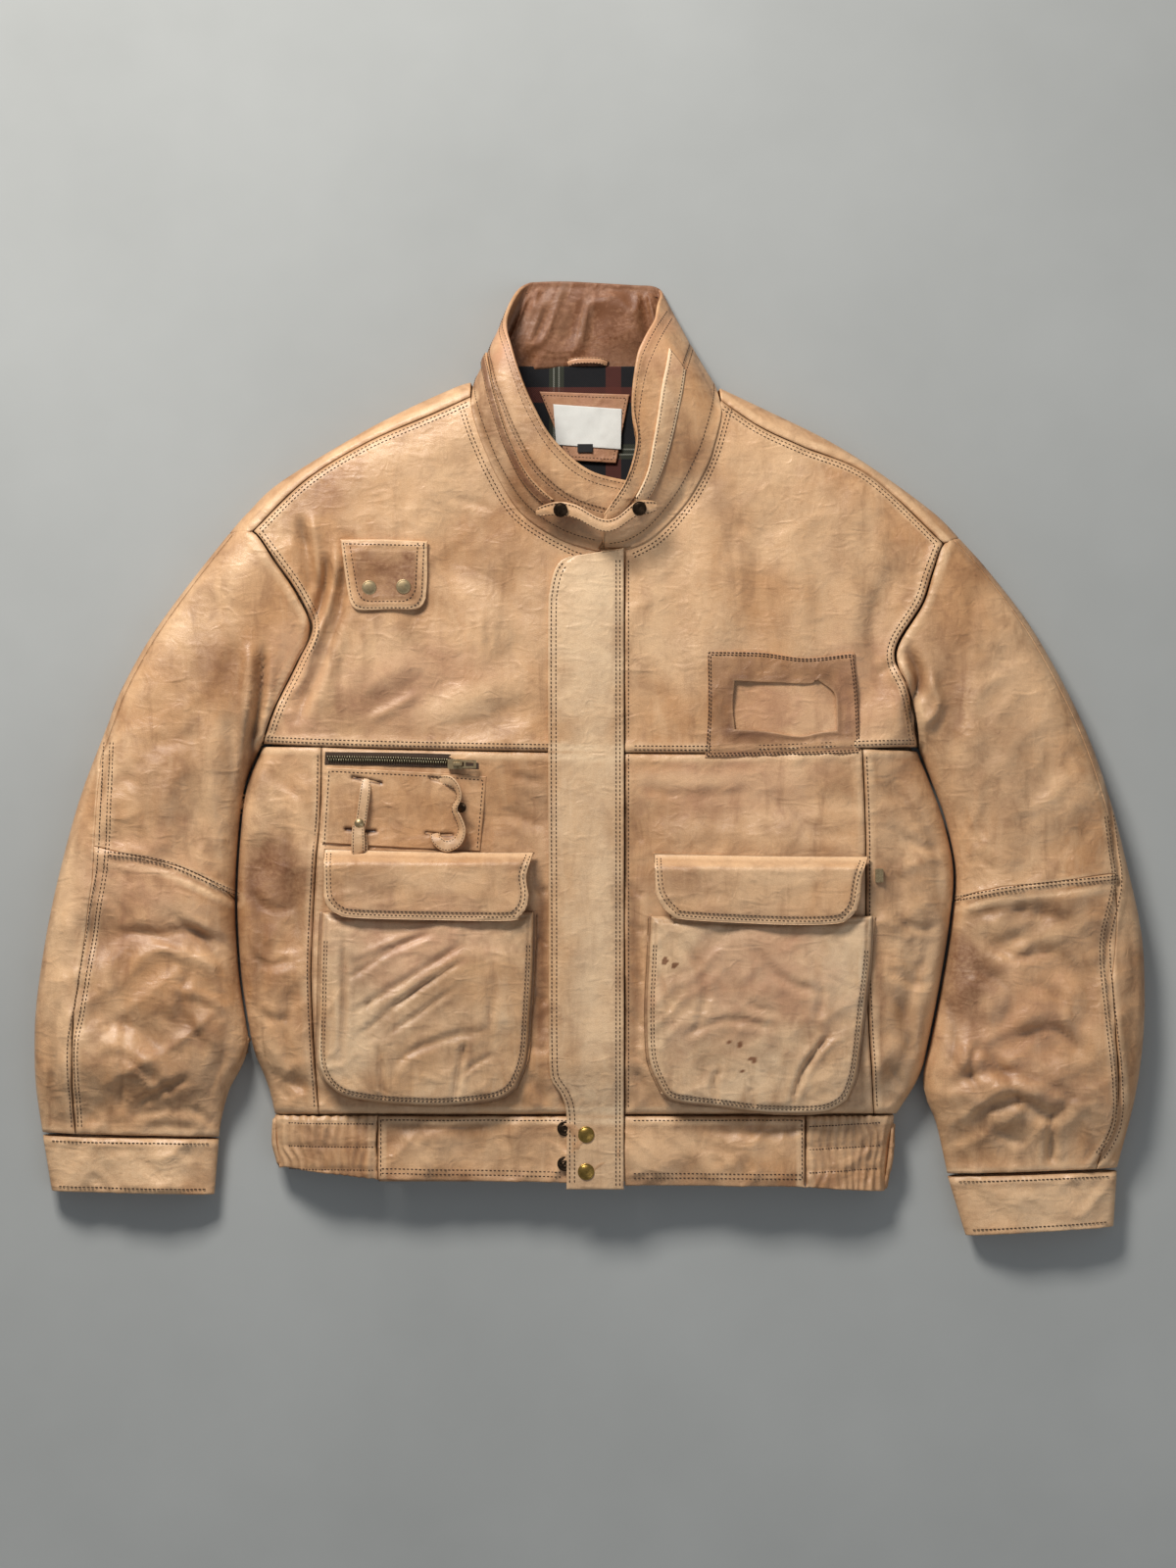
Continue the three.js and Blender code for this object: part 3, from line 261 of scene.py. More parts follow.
# Creases: points, depth (minus for a ridge), half width.
CREASES = [
    # left sleeve
    ([[-415.6, -150.4], [-383.3, -147.9], [-344.2, -164.9]], 2.6, 4.5),
    ([[-371.4, -146.2], [-340.8, -147.9], [-306.8, -161.5]], 3.0, 4.5),
    ([[-383.3, -156.4], [-340.8, -170], [-308.6, -175.9]], -1.6, 7),
    ([[-368.1, -195.5], [-336.6, -202.3], [-306.8, -217.6]], -1.8, 4),
    ([[-402.9, -175.9], [-402.1, -231.2], [-407.1, -290.7], [-412.2, -316.2]], 1.6, 3.5),
    ([[-396.1, -299.2], [-368.1, -283.9], [-344.2, -272]], 2.6, 4),
    ([[-402.1, -314.5], [-366.3, -309.4], [-330.6, -316.2]], -2.2, 5),
    ([[-322.1, -316.2], [-335.8, -307.7], [-344.2, -295.8]], 2.0, 4),
    ([[-408.8, -175.9], [-357.8, -161.5], [-306.8, -188.7]], -2.5, 8),
    ([[-383.3, -214.2], [-349.3, -231.2], [-328.1, -256.7]], 1.6, 7),
    ([[-459.8, -241.4], [-468.3, -273.7], [-473.4, -307.7]], 1.8, 6),
    ([[-430.1, -222.7], [-391.8, -231.2], [-362.1, -260.9]], 2.5, 8),
    ([[-313.6, -222.7], [-319.6, -260.9], [-336.6, -299.2]], 2.5, 6),
    ([[-281.3, 108.8], [-284.8, 66.3], [-293.2, 11], [-299.2, -48.4]], 6.5, 4.5),
    ([[-294.1, 108.8], [-295.8, 57.8], [-301.8, 6.8]], -4.0, 5.5),
    ([[-304.3, 117.3], [-317.1, 66.3], [-310.2, -10.2], [-306.8, -69.7]], 2.5, 9),
    ([[-328.1, 74.8], [-345.1, 15.3], [-336.6, -61.2]], 1.8, 12),
    ([[-404.6, -10.2], [-383.3, -35.7], [-391.8, -76.5]], 1.5, 10),
    ([[-459.8, -197.2], [-468.3, -256.7], [-461.6, -307.7]], 1.6, 7),
    # right sleeve
    ([[272.8, 104.5], [286.4, 74.8], [279.6, 42.5], [293.2, 6.8]], 7, 5.5),
    ([[293.2, 76.5], [302.6, 49.3], [286.4, 28.1]], -3.5, 5),
    ([[311.9, 108.8], [317.9, 49.3], [306.8, -18.7], [311.9, -69.7]], 2.2, 10),
    ([[317.9, -139.4], [373.1, -127.5], [428.4, -141.1]], 3.5, 8),
    ([[326.4, -175.9], [364.6, -195.5], [357.8, -232.9]], 3.2, 8),
    ([[306.8, -283.9], [347.6, -266.9], [400.3, -277.1]], 4, 7),
    ([[326.4, -309.4], [373.1, -292.4], [402.1, -307.7], [427.6, -280.5]], 4, 6),
    ([[402.1, -352.8], [401.2, -299.2]], 3.5, 4),
    ([[364.6, -241.4], [403.8, -231.2], [437.8, -258.4]], 3, 7),
    ([[345.9, -317.9], [383.3, -331.5]], 2.5, 5),
    ([[318.8, -241.4], [349.3, -255], [388.4, -316.2]], 3, 6),
    ([[411.4, -167.4], [432.6, -197.2], [428.4, -239.7]], 2.2, 8),
    ([[305.1, -188.7], [317.9, -231.2], [310.2, -273.7]], 3, 6),
    ([[466.6, -129.2], [475.1, -197.2], [466.6, -273.7]], 1.8, 7),
    ([[390.1, 108.8], [411.4, 62], [419.9, 6.8]], 1.2, 10),
    # left side of the body
    ([[-296.6, -78.2], [-286.4, -154.7], [-290.7, -226.9]], 3.2, 8),
    ([[-268.6, -18.7], [-259.2, -103.7], [-246.5, -175.9]], 2.6, 8),
    ([[-298.3, -241.4], [-272.8, -272], [-237.2, -285.6]], 4, 7),
    ([[-288.1, -265.2], [-255.8, -297.5]], 3, 5),
    ([[-255.8, -188.7], [-264.3, -239.7], [-250.8, -289]], 2.4, 6),
    ([[-288.1, -18.7], [-276.2, -61.2]], 2, 8),
    # right side of the body
    ([[258.4, -11.9], [296.6, -68], [305.1, -133.4]], 3.5, 8),
    ([[254.2, -188.7], [279.6, -232.9], [258.4, -285.6]], 3, 8),
    ([[259.2, -78.2], [276.2, -154.7]], 2.2, 7),
    ([[294.9, -154.7], [274.6, -222.7], [286.4, -265.2]], 3, 7),
    ([[255.8, -256.7], [279.6, -289]], 2.6, 5),
    # yokes and fronts
    ([[-221, 202.3], [-219.3, 168.3], [-226.1, 136], [-238, 104.5], [-250.8, 68.8], [-269.4, 47.6]], -3.6,
     5),
    ([[-227.8, 185.3], [-229.5, 151.3], [-240.5, 117.3], [-248.2, 90.1]], 3.6, 4),
    ([[-213.3, 185.3], [-214.2, 142.8], [-223.5, 108.8], [-237.2, 74.8], [-257.6, 36.5]], 2.6, 5.5),
    ([[-250.8, 219.3], [-246.5, 176.8], [-240.5, 142.8]], 2.2, 5),
    ([[-240.5, 219.3], [-234.6, 172.5], [-230.3, 147]], -1.8, 4),
    ([[-192.9, 35.7], [-169.2, 47.6], [-145.3, 61.2]], -1.5, 4),
    ([[-199.8, 47.6], [-170.8, 61.2], [-136.8, 79.9]], 0.9, 8),
    ([[-136.8, 30.6], [-94.3, 36.5], [-45, 56.1]], 2.2, 12), ([[-111.3, 117.3], [-108, 90.1]], 0.9, 3),
    ([[-99.5, 120.7], [-96, 93.5]], 0.9, 3), ([[-88.4, 125.8], [-85.8, 96.9]], 0.9, 3),
    ([[-77.3, 122.4], [-76.5, 100.3]], 0.8, 3),
    ([[-126.6, 231.2], [-102.8, 226.1], [-79, 217.6]], 1.0, 3.5),
    ([[-136.8, 180.2], [-85.8, 159.8], [-41.6, 117.3]], 1.5, 14),
    ([[-132.6, 74.8], [-153.8, 117.3], [-136.8, 151.3]], 1.3, 12),
    ([[-237.2, 185.3], [-255.8, 198], [-271.1, 192.1]], 1.2, 8),
    ([[-255.8, 221], [-234.6, 151.3], [-223.5, 93.5]], 2.2, 7),
    ([[-230.3, 185.3], [-211.7, 117.3], [-217.6, 62]], 1.6, 8),
    ([[-240.5, 66.3], [-255.8, 30.6]], 2, 6),
    ([[254.2, 159.8], [243.9, 108.8], [258.4, 49.3]], 2.2, 8),
    ([[275.4, 93.5], [249.9, 74.8]], 2, 4.5),
    ([[-153.8, 66.3], [-102.8, 74.8], [-45, 117.3]], 1.2, 16),
    ([[-68.8, -10.2], [-38.2, -18.7]], 1.4, 4),
    ([[-75.6, -40.8], [-38.2, -57.8]], 1.6, 5),
    ([[-42.5, -69.7], [-38.2, -154.7], [-41.6, -256.7]], 1.8, 6),
    ([[33.1, -18.7], [84.1, -28.9], [145.3, -23.8]], 1.3, 6),
    ([[34.9, -44.2], [46.8, -71.4]], 1.6, 5),
    ([[36.5, -86.7], [43.4, -188.7], [38.2, -273.7]], 1.8, 5),
    ([[152.2, -18.7], [194.7, -57.8], [235.4, -62.9]], 1.2, 8),
    ([[-51.9, -269.4], [-34.9, -299.2]], 2, 5),
    ([[39.9, -265.2], [56.9, -297.5]], 2, 5),
    ([[33.1, -103.7], [43.4, -113.9], [50.1, -110.5]], 1.3, 3),
    ([[33.1, -137.7], [44.2, -146.2], [51.9, -141.1]], 1.3, 3),
    ([[34, -175.9], [43.4, -188.7], [50.1, -190.4]], 1.4, 3),
    ([[34, -214.2], [45.9, -227.8], [51.9, -227.8]], 1.4, 3),
    ([[34.9, -248.2], [46.8, -258.4], [56.9, -265.2]], 1.4, 3),
    ([[-46.8, -103.7], [-40.8, -112.2], [-34.9, -108.8]], 1.3, 3),
    ([[-46.8, -146.2], [-39.9, -156.4], [-34.9, -154.7]], 1.3, 3),
    ([[-47.6, -197.2], [-40.8, -207.4], [-34, -202.3]], 1.4, 3),
    ([[-51.9, -241.4], [-41.6, -249.9], [-33.1, -244.8]], 1.4, 3),
    ([[-255.8, -18.7], [-240.5, -52.7], [-237.2, -78.2]], 1.8, 4),
    ([[-300.1, -108], [-281.3, -125], [-255.8, -129.2]], 1.6, 4),
    ([[-300.9, -158.9], [-279.6, -175.9], [-254.2, -171.7]], 1.8, 4),
    ([[-298.3, -205.7], [-276.2, -222.7], [-255.8, -219.3]], 1.8, 4),
    ([[258.4, -52.7], [283.9, -71.4], [306.8, -74.8]], 1.6, 4),
    ([[258.4, -129.2], [286.4, -144.5], [310.2, -137.7]], 1.8, 4),
    ([[255.8, -175.9], [283.1, -192.1], [306.8, -187]], 1.8, 4),
    ([[-366.3, -129.2], [-332.3, -156.4], [-308.6, -197.2]], 2.4, 4.5),
    ([[-391.8, -158.9], [-408.8, -188.7], [-402.1, -222.7]], 2.0, 4.5),
    ([[-345.1, -175.9], [-353.6, -214.2], [-328.1, -249.9]], 2.2, 4.5),
    ([[-425.8, -252.4], [-396.1, -258.4], [-357.8, -290.7]], 2.0, 4),
    ([[339.1, -146.2], [364.6, -167.4], [411.4, -161.5]], 2.2, 4.5),
    ([[377.4, -188.7], [411.4, -205.7], [432.6, -239.7]], 2.2, 4.5),
    ([[339.1, -239.7], [330.6, -269.4], [347.6, -299.2]], 2.2, 4),
    ([[390.1, -269.4], [419.9, -290.7], [441.1, -289]], 2.2, 4),
    ([[-187.8, -310.2], [-119.8, -317.9], [-41.6, -307.7]], 1.6, 5),
    ([[75.6, -312.8], [135.2, -321.3], [211.7, -312.8]], 1.6, 5)]

# Seams that show on the upper skin, with how deep the cloth dips there and over what half width.
SEAMS = [(ARMHOLE_L, 1.2, 2.4), (ARMHOLE_R, 1.2, 2.4), (SHOULDER_SEAM_L, 1.0, 2.2),
         (SHOULDER_SEAM_R, 1.0, 2.2),
         (YOKE_SEAM_L, 1.2, 2.2), (YOKE_SEAM_R, 1.2, 2.2), (SIDE_SEAM_L, 0.5, 2.0), (SIDE_SEAM_R, 0.8, 2.2),
         ([[BAND_SPLIT_L, -366], [BAND_SPLIT_L, HEM_TOP]], 1.2, 2.4),
         ([[BAND_SPLIT_R, -366], [BAND_SPLIT_R, HEM_TOP]], 1.2, 2.4),
         ([[-274, HEM_TOP], [266, HEM_TOP]], 2.4, 3.4),
         (SLEEVE_SEAM_L, 1.4, 2.6),
         (ELBOW_SEAM_L, 1.6, 2.8),
         (SLEEVE_SEAM_R, 1.4, 2.6),
         (ELBOW_SEAM_R, 1.6, 2.8),
         (CUFF_TOP_L, 2.2, 3.0), (CUFF_TOP_R, 2.2, 3.0)]
SEAM_LINES = [(route(points)(np.linspace(0, 1, 24)), depth, width) for points, depth, width in SEAMS]
CREASE_LINES = [(route(points)(np.linspace(0, 1, 16)), depth, width) for points, depth, width in CREASES]


def fold_distance(xy):
    best = np.full(len(xy), 1e9)
    for line in FOLD_LINES:
        best = np.minimum(best, line_gap(xy, line)[0])
    return best


def full_height(x, y):
    body = BODY_HEIGHT + (SLEEVE_HEIGHT - BODY_HEIGHT) * smooth(262, 330, np.abs(x))
    hem = BODY_HEIGHT + (HEM_HEIGHT - BODY_HEIGHT) * np.clip((y + 262) / -44, 0, 1)
    body = np.where((np.abs(x) < 290) & (y < -262), hem, body)
    left = SLEEVE_HEIGHT + (CUFF_HEIGHT - SLEEVE_HEIGHT) * (1 - smooth(-322, -255, y))
    right = SLEEVE_HEIGHT + (CUFF_HEIGHT - SLEEVE_HEIGHT) * (1 - smooth(-352, -285, y))
    body = np.where((x < -298) & (y < -255), left, body)
    return np.where((x > 290) & (y < -285), right, body)


def near_line(xy, line, reach):
    low, high = line.min(0) - reach, line.max(0) + reach
    return np.nonzero((xy[:, 0] > low[0]) & (xy[:, 0] < high[0]) & (xy[:, 1] > low[1])
                      & (xy[:, 1] < high[1]))[0]


def fold_in(xy, lines, height, dark):
    """Adds each crease to the height, as a trough with soft shoulders, and to the painted shade in the
    crease.
    """
    for line, depth, width in lines:
        at = near_line(xy, line, 3.5 * width)
        if len(at) == 0:
            continue
        gap, share = line_gap(xy[at], line)
        taper = smooth(0, 0.22, share) * smooth(1, 0.78, share)
        trough = 0.68 * np.exp(-(gap / width) ** 2) + 0.4 * np.exp(-gap / max(1.8, 0.35 * width))
        shoulder = np.exp(-((gap - 1.9 * width) / width) ** 2)
        height[at] += taper * FOLD_DEPTH * depth * (0.34 * shoulder - trough)
        # painted shade in the crease's trough, and a faint painted highlight on its shoulders
        dark[at] += taper * depth * (0.9 * np.exp(-(gap / (0.6 * width)) ** 2) - 0.25 * shoulder) / 7


def crumple(xy):
    """Where the leather is crumpled: the lower sleeves, the armpits, and the sides of the body."""
    x, y = xy[:, 0], xy[:, 1]
    sleeves = smooth(288, 330, np.abs(x)) * (0.35 + 0.65 * smooth(-60, -190, y))
    sides = smooth(225, 262, np.abs(x)) * smooth(60, -40, y) * 0.8
    hem = smooth(-270, -300, y) * smooth(290, 250, np.abs(x)) * 0.9
    return 0.3 + np.clip(sleeves + sides + hem, 0, 1)


def ridged(xy, size, seed):
    return 1 - 2 * np.abs(noise(xy, size, seed))


def smooth_form(flat):
    """The upper skin's height without creases, and each point's distance to the nearest fold."""
    gap = fold_distance(flat)
    inward = np.minimum(1, gap / UPPER_ROLL)
    rise = np.sqrt(1 - (1 - inward) ** 2)
    return FOLD_HEIGHT + (full_height(flat[:, 0], flat[:, 1]) - FOLD_HEIGHT) * rise, gap


def upper(xy):
    """The upper skin's height at plan points, and the shade painted into its creases, crumples, seam grooves
    and folds.
    """
    flat = xy.reshape(-1, 2)
    height, gap = smooth_form(flat)
    inward = np.minimum(1, gap / UPPER_ROLL)
    extra, dark = np.zeros(len(flat)), np.zeros(len(flat))
    for start, end, depth, width in BROAD_FOLDS:
        line = np.array([start, end], float)
        at = near_line(flat, line, 3 * width)
        extra[at] -= depth * np.exp(-(line_gap(flat[at], line)[0] / width) ** 2)
    fold_in(flat, CREASE_LINES, extra, dark)
    amount = crumple(flat)
    warped = flat + 14 * np.stack([noise(flat, 60, 3), noise(flat, 60, 4)], -1)
    extra += 2.4 * noise(flat, 95, 1) + (0.3 + amount) * 1.7 * noise(warped, 42, 2)
    extra += amount * 1.5 * (ridged(turned(warped, 35, 2.2), 24, 5) - 0.4)
    extra += amount * 0.8 * (ridged(turned(warped, -50, 2.0), 11, 6) - 0.4)
    extra += 0.55 * noise(turned(warped, 82, 4.0), 13, 9)
    # painted shade in the crumple troughs
    dark += amount * 0.10 * (ridged(turned(warped, 35, 2.2), 24, 5) < -0.55)
    extra *= 0.25 + 0.75 * smooth(0, 14, gap)
    height = height + extra * np.minimum(1, 0.35 + inward)
    for line, depth, width in SEAM_LINES:
        at = near_line(flat, line, 5 * width)
        if len(at) == 0:
            continue
        away, share = line_gap(flat[at], line)
        pucker = (0.35 * np.sin(share * 900 / 6.5 + 3 * noise(flat[at], 25, 8))
                  * np.exp(-((away - 5) / 4) ** 2))
        height[at] -= depth * np.exp(-(away / width) ** 2) * (0.85
            + 0.3 * noise(flat[at], 14, 7)) + 0.6 * pucker
        height[at] += 0.75 * smooth(1.0, 2.8, away) * smooth(10.5, 7.5, away) * min(1, depth)
        # painted shade in the seam's groove
        dark[at] += 0.30 * min(1, depth) * np.exp(-(away / 1.1) ** 2)
    # painted shade where the cloth rolls down to its side folds
    dark += 0.22 * smooth(8, 0, gap)
    return height.reshape(xy.shape[:-1]), dark.reshape(xy.shape[:-1])


def lower(xy):
    flat = xy.reshape(-1, 2)
    inward = np.minimum(1, fold_distance(flat) / LOWER_ROLL)
    height = FOLD_HEIGHT * (1 - np.sqrt(1 - (1 - inward) ** 2))
    return height.reshape(xy.shape[:-1]), np.zeros(xy.shape[:-1])


def lifted(xy, height):
    return np.concatenate([xy, height[..., None]], -1)


# ------------------------------------------------------------------ stains and wear, with painted shade and painted highlights
# x, y, half width, half height, turn in degrees, strength: dark brown stains and painted shade in gaps and
# under folds, rubbed pale wear and painted highlights, or pink.
STAIN_AND_SHADE_PATCHES = [
    (-42.5, -175.9, 6, 95, 0, 0.55), (-212.5, -197.2, 5, 60, 0, 0.45), (38.2, -188.7, 7, 90, 0, 0.35),
    (-240.5, -197.2, 6, 80, 0, 0.5), (250.8, -197.2, 7, 80, 0, 0.5), (-184.4, -103.7, 40, 18, 0, 0.42),
    (-298.3, 32.3, 10, 60, 10, 0.45), (279.6, 32.3, 14, 60, -5, 0.4), (-85.8, 185.3, 30, 70, 10, 0.22),
    (-194.7, 52.7, 60, 14, 12, 0.30), (-47.6, 134.3, 14, 90, 0, 0.25), (-68.8, 261.8, 16, 60, -30, 0.4),
    (94.3, 261.8, 14, 70, 25, 0.35), (356.1, -1.7, 40, 70, 10, 0.3), (-340.8, -231.2, 34, 40, 0, 0.35),
    (118.1, -188.7, 40, 60, 0, 0.22), (16.1, -35.7, 10, 60, 0, 0.15),
    (-271.1, -108, 38, 52, 10, 0.75), (-288.1, -154.7, 20, 50, 0, 0.35), (-319.6, 93.5, 28, 34, -20, 0.4),
    (-376.6, -18.7, 48, 34, 30, 0.28), (328.9, -181.9, 24, 44, 0, 0.7), (305.1, 66.3, 30, 60, 0, 0.3),
    (-175.1, 164.9, 34, 22, 0, 0.35), (-230.3, 236.3, 52, 26, 30, 0.3), (-47.6, 295.8, 30, 60, 0, 0.2),
    (113.9, 62, 14, 44, 0, 0.4), (169.2, 83.3, 60, 10, 0, 0.3), (-136.8, 32.3, 90, 14, 0, 0.25),
    (-196.3, -175.9, 40, 30, 0, 0.32), (-136.8, -222.7, 60, 60, 0, 0.2), (84.1, -103.7, 60, 16, 0, 0.25),
    (135.2, -231.2, 50, 50, 20, 0.26), (-51.9, -44.2, 26, 60, 0, 0.25), (84.1, -52.7, 90, 24, 0, 0.22),
    (254.2, -103.7, 20, 90, 0, 0.25), (-417.3, -154.7, 60, 20, 0, 0.25), (381.6, -129.2, 60, 14, 0, 0.35),
    (441.1, -146.2, 16, 70, 0, 0.2), (-204.8, -328.9, 60, 14, 0, 0.2), (-128.3, -362.9, 120, 8, 0, 0.35),
    (135.2, -365.5, 120, 8, 0, 0.35), (347.6, 185.3, 26, 20, 40, 0.3), (-328.1, 185.3, 30, 20, -40, 0.25),
    (-9.3, -188.7, 10, 80, 0, 0.12), (411.4, -277.9, 50, 20, 0, 0.3), (-374.8, -265.2, 60, 24, 0, 0.25)]
WEAR_AND_HIGHLIGHT_PATCHES = [
    (-0.8, 117.3, 26, 120, 0, 0.5), (-111.3, 49.3, 40, 18, 12, 0.6), (84.1, 134.3, 50, 90, 5, 0.45),
    (186.2, 202.3, 60, 50, -20, 0.45), (-153.8, 261.8, 60, 30, 28, 0.45), (-400.3, -348.5, 90, 30, 0, 0.8),
    (390.1, -382.5, 90, 30, 0, 0.75), (-138.5, -81.6, 92, 5, 0, 0.4), (148.8, -85, 92, 5, 0, 0.4),
    (84.1, -15.3, 60, 8, 0, 0.4), (-459.8, -188.7, 16, 90, 0, 0.4),
    (-136.8, 236.3, 70, 40, 20, 0.45), (-68.8, 117.3, 60, 40, 0, 0.35), (75.6, 185.3, 60, 70, 10, 0.4),
    (203.2, 117.3, 60, 40, 0, 0.3), (160.7, 261.8, 60, 30, -30, 0.35), (-383.3, 134.3, 50, 60, 30, 0.3),
    (-459.8, -103.7, 24, 70, 10, 0.3), (390.1, 66.3, 40, 60, 0, 0.35), (466.6, -103.7, 18, 60, 0, 0.35),
    (-136.8, -99.5, 60, 14, 0, 0.5), (169.2, -97.8, 60, 12, 0, 0.5), (-0.8, -18.7, 26, 200, 0, 0.35),
    (-204.8, -239.7, 22, 50, 0, 0.45), (220.2, -175.9, 26, 60, 0, 0.35), (-400.3, -350.2, 70, 20, 0, 0.4),
    (390.1, -384.2, 70, 20, 0, 0.35), (296.6, -154.7, 16, 60, 0, 0.35), (-357.8, -129.2, 30, 14, 0, 0.3),
    (-111.3, -337.4, 60, 14, 0, 0.3), (118.1, -333.2, 60, 14, 0, 0.3), (-179.3, 100.3, 30, 20, 0, 0.35)]
PINK_PATCHES = [
    (-153.8, 66.3, 70, 40, 0, 0.5), (118.1, -18.7, 90, 30, 0, 0.5), (-153.8, -154.7, 70, 40, 0, 0.6),
    (143.7, -188.7, 80, 60, 0, 0.6), (-383.3, -103.7, 60, 60, 0, 0.35), (169.2, 49.3, 50, 24, 0, 0.5),
    (373.1, -231.2, 60, 60, 0, 0.35), (237.2, 66.3, 40, 60, 0, 0.4), (-0.8, 372.3, 80, 40, 0, 0.9),
    (-255.8, 66.3, 30, 60, 0, 0.4)]
SPOTS = [(119.8, -242.2, 1.6), (130, -244.8, 2.2), (141.9, -256.7, 2.0), (132.6, -266.9, 1.5),
         (-7.6, -33.1, 1.2), (26.3, 83.3, 1.0), (47.6, 52.7, 1.4), (65.5, -171.7, 2.6), (74, -175.1, 2.2)]


def patches(xy, table, edge):
    total = np.zeros(len(xy))
    for x, y, wide, tall, turn, strength in table:
        local = turned(xy - np.array([x, y]), turn)
        away = np.hypot(local[:, 0] / wide, local[:, 1] / tall) + edge
        total = np.maximum(total, strength * smooth(1.35, 0.35, away))
    return total


def seam_rub(xy):
    """The stitched-down bands along the seams are rubbed pale."""
    rub_and_highlight = np.zeros(len(xy))
    for line, _, _ in SEAM_LINES:
        at = near_line(xy, line, 12)
        if len(at):
            away = line_gap(xy[at], line)[0]
            rub_and_highlight[at] = np.maximum(rub_and_highlight[at], 0.62 * smooth(1.0, 2.6, away) * smooth(9.0, 6.4, away))
    return rub_and_highlight


def look(xy, dark):
    """A vertex's amounts from its place in the plan: dark stains with painted shade, rubbed wear with
    painted highlights, pink, and the painted shade of its creases.
    """
    flat, dark = xy.reshape(-1, 2), dark.reshape(-1)
    edge = 0.32 * noise(flat, 26, 21) + 0.16 * noise(flat, 9, 22)
    # dark stains, with painted shade in the gaps beside the pockets, the placket and the armholes
    stain_and_shade = patches(flat, STAIN_AND_SHADE_PATCHES, edge) + 0.08 * noise(flat, 40, 23)
    for x, y, radius in SPOTS:
        stain_and_shade = np.maximum(stain_and_shade, 1.4 * (np.hypot(flat[:, 0] - x, flat[:, 1] - y) < radius * (1 + edge)))
    # rubbed wear and painted highlights, kept down in the painted crease shade
    rub_and_highlight = patches(flat, WEAR_AND_HIGHLIGHT_PATCHES, edge) + 0.05 * noise(flat, 30, 24) - 0.25 * dark
    rub_and_highlight = np.maximum(rub_and_highlight, seam_rub(flat) * (0.8 + 0.4 * noise(flat, 18, 25)))
    pink = patches(flat, PINK_PATCHES, edge)
    both = np.stack([stain_and_shade, rub_and_highlight, pink, dark], -1)
    return np.clip(both, 0, 2).reshape(xy.shape[:-1] + (4,))


# ------------------------------------------------------------------ meshes
def raw_mesh(name, points, faces, attribute=None):
    """A mesh from points in millimetres and a list of face arrays (each n by 3 or n by 4)."""
    mesh = bpy.data.meshes.new(name)
    points = np.asarray(points, float)
    faces = [np.asarray(f, int) for f in faces if len(f)]
    loops = np.concatenate([f.ravel() for f in faces])
    sizes = np.concatenate([np.full(len(f), f.shape[1]) for f in faces])
    mesh.vertices.add(len(points))
    mesh.vertices.foreach_set("co", ((points + CENTRE) * MM).astype(np.float32).ravel())
    mesh.loops.add(len(loops))
    mesh.loops.foreach_set("vertex_index", loops.astype(np.int32))
    mesh.polygons.add(len(sizes))
    starts = np.concatenate([[0], np.cumsum(sizes)[:-1]])
    mesh.polygons.foreach_set("loop_start", starts.astype(np.int32))
    mesh.polygons.foreach_set("use_smooth", np.ones(len(sizes), bool))
    if attribute is not None:
        layer = mesh.attributes.new("look", "FLOAT_COLOR", "POINT")
        layer.data.foreach_set("color", np.asarray(attribute, np.float32).ravel())
    mesh.update(calc_edges=True)
    mesh.validate()
    return mesh


def place(name, mesh, material, body, replaces=()):
    obj = bpy.data.objects.new(name, mesh)
    scene.collection.objects.link(obj)
    mesh.materials.append(material)
    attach(obj, body)
    if replaces:
        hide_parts(*replaces)
    return obj


def unit(v):
    return v / np.maximum(np.linalg.norm(v, axis=-1, keepdims=True), 1e-9)


def normals_of(P, ring=False):
    if ring:
        across = np.roll(P, -1, 1) - np.roll(P, 1, 1)
    else:
        across = np.gradient(P, axis=1)
    return unit(np.cross(across, np.gradient(P, axis=0)))


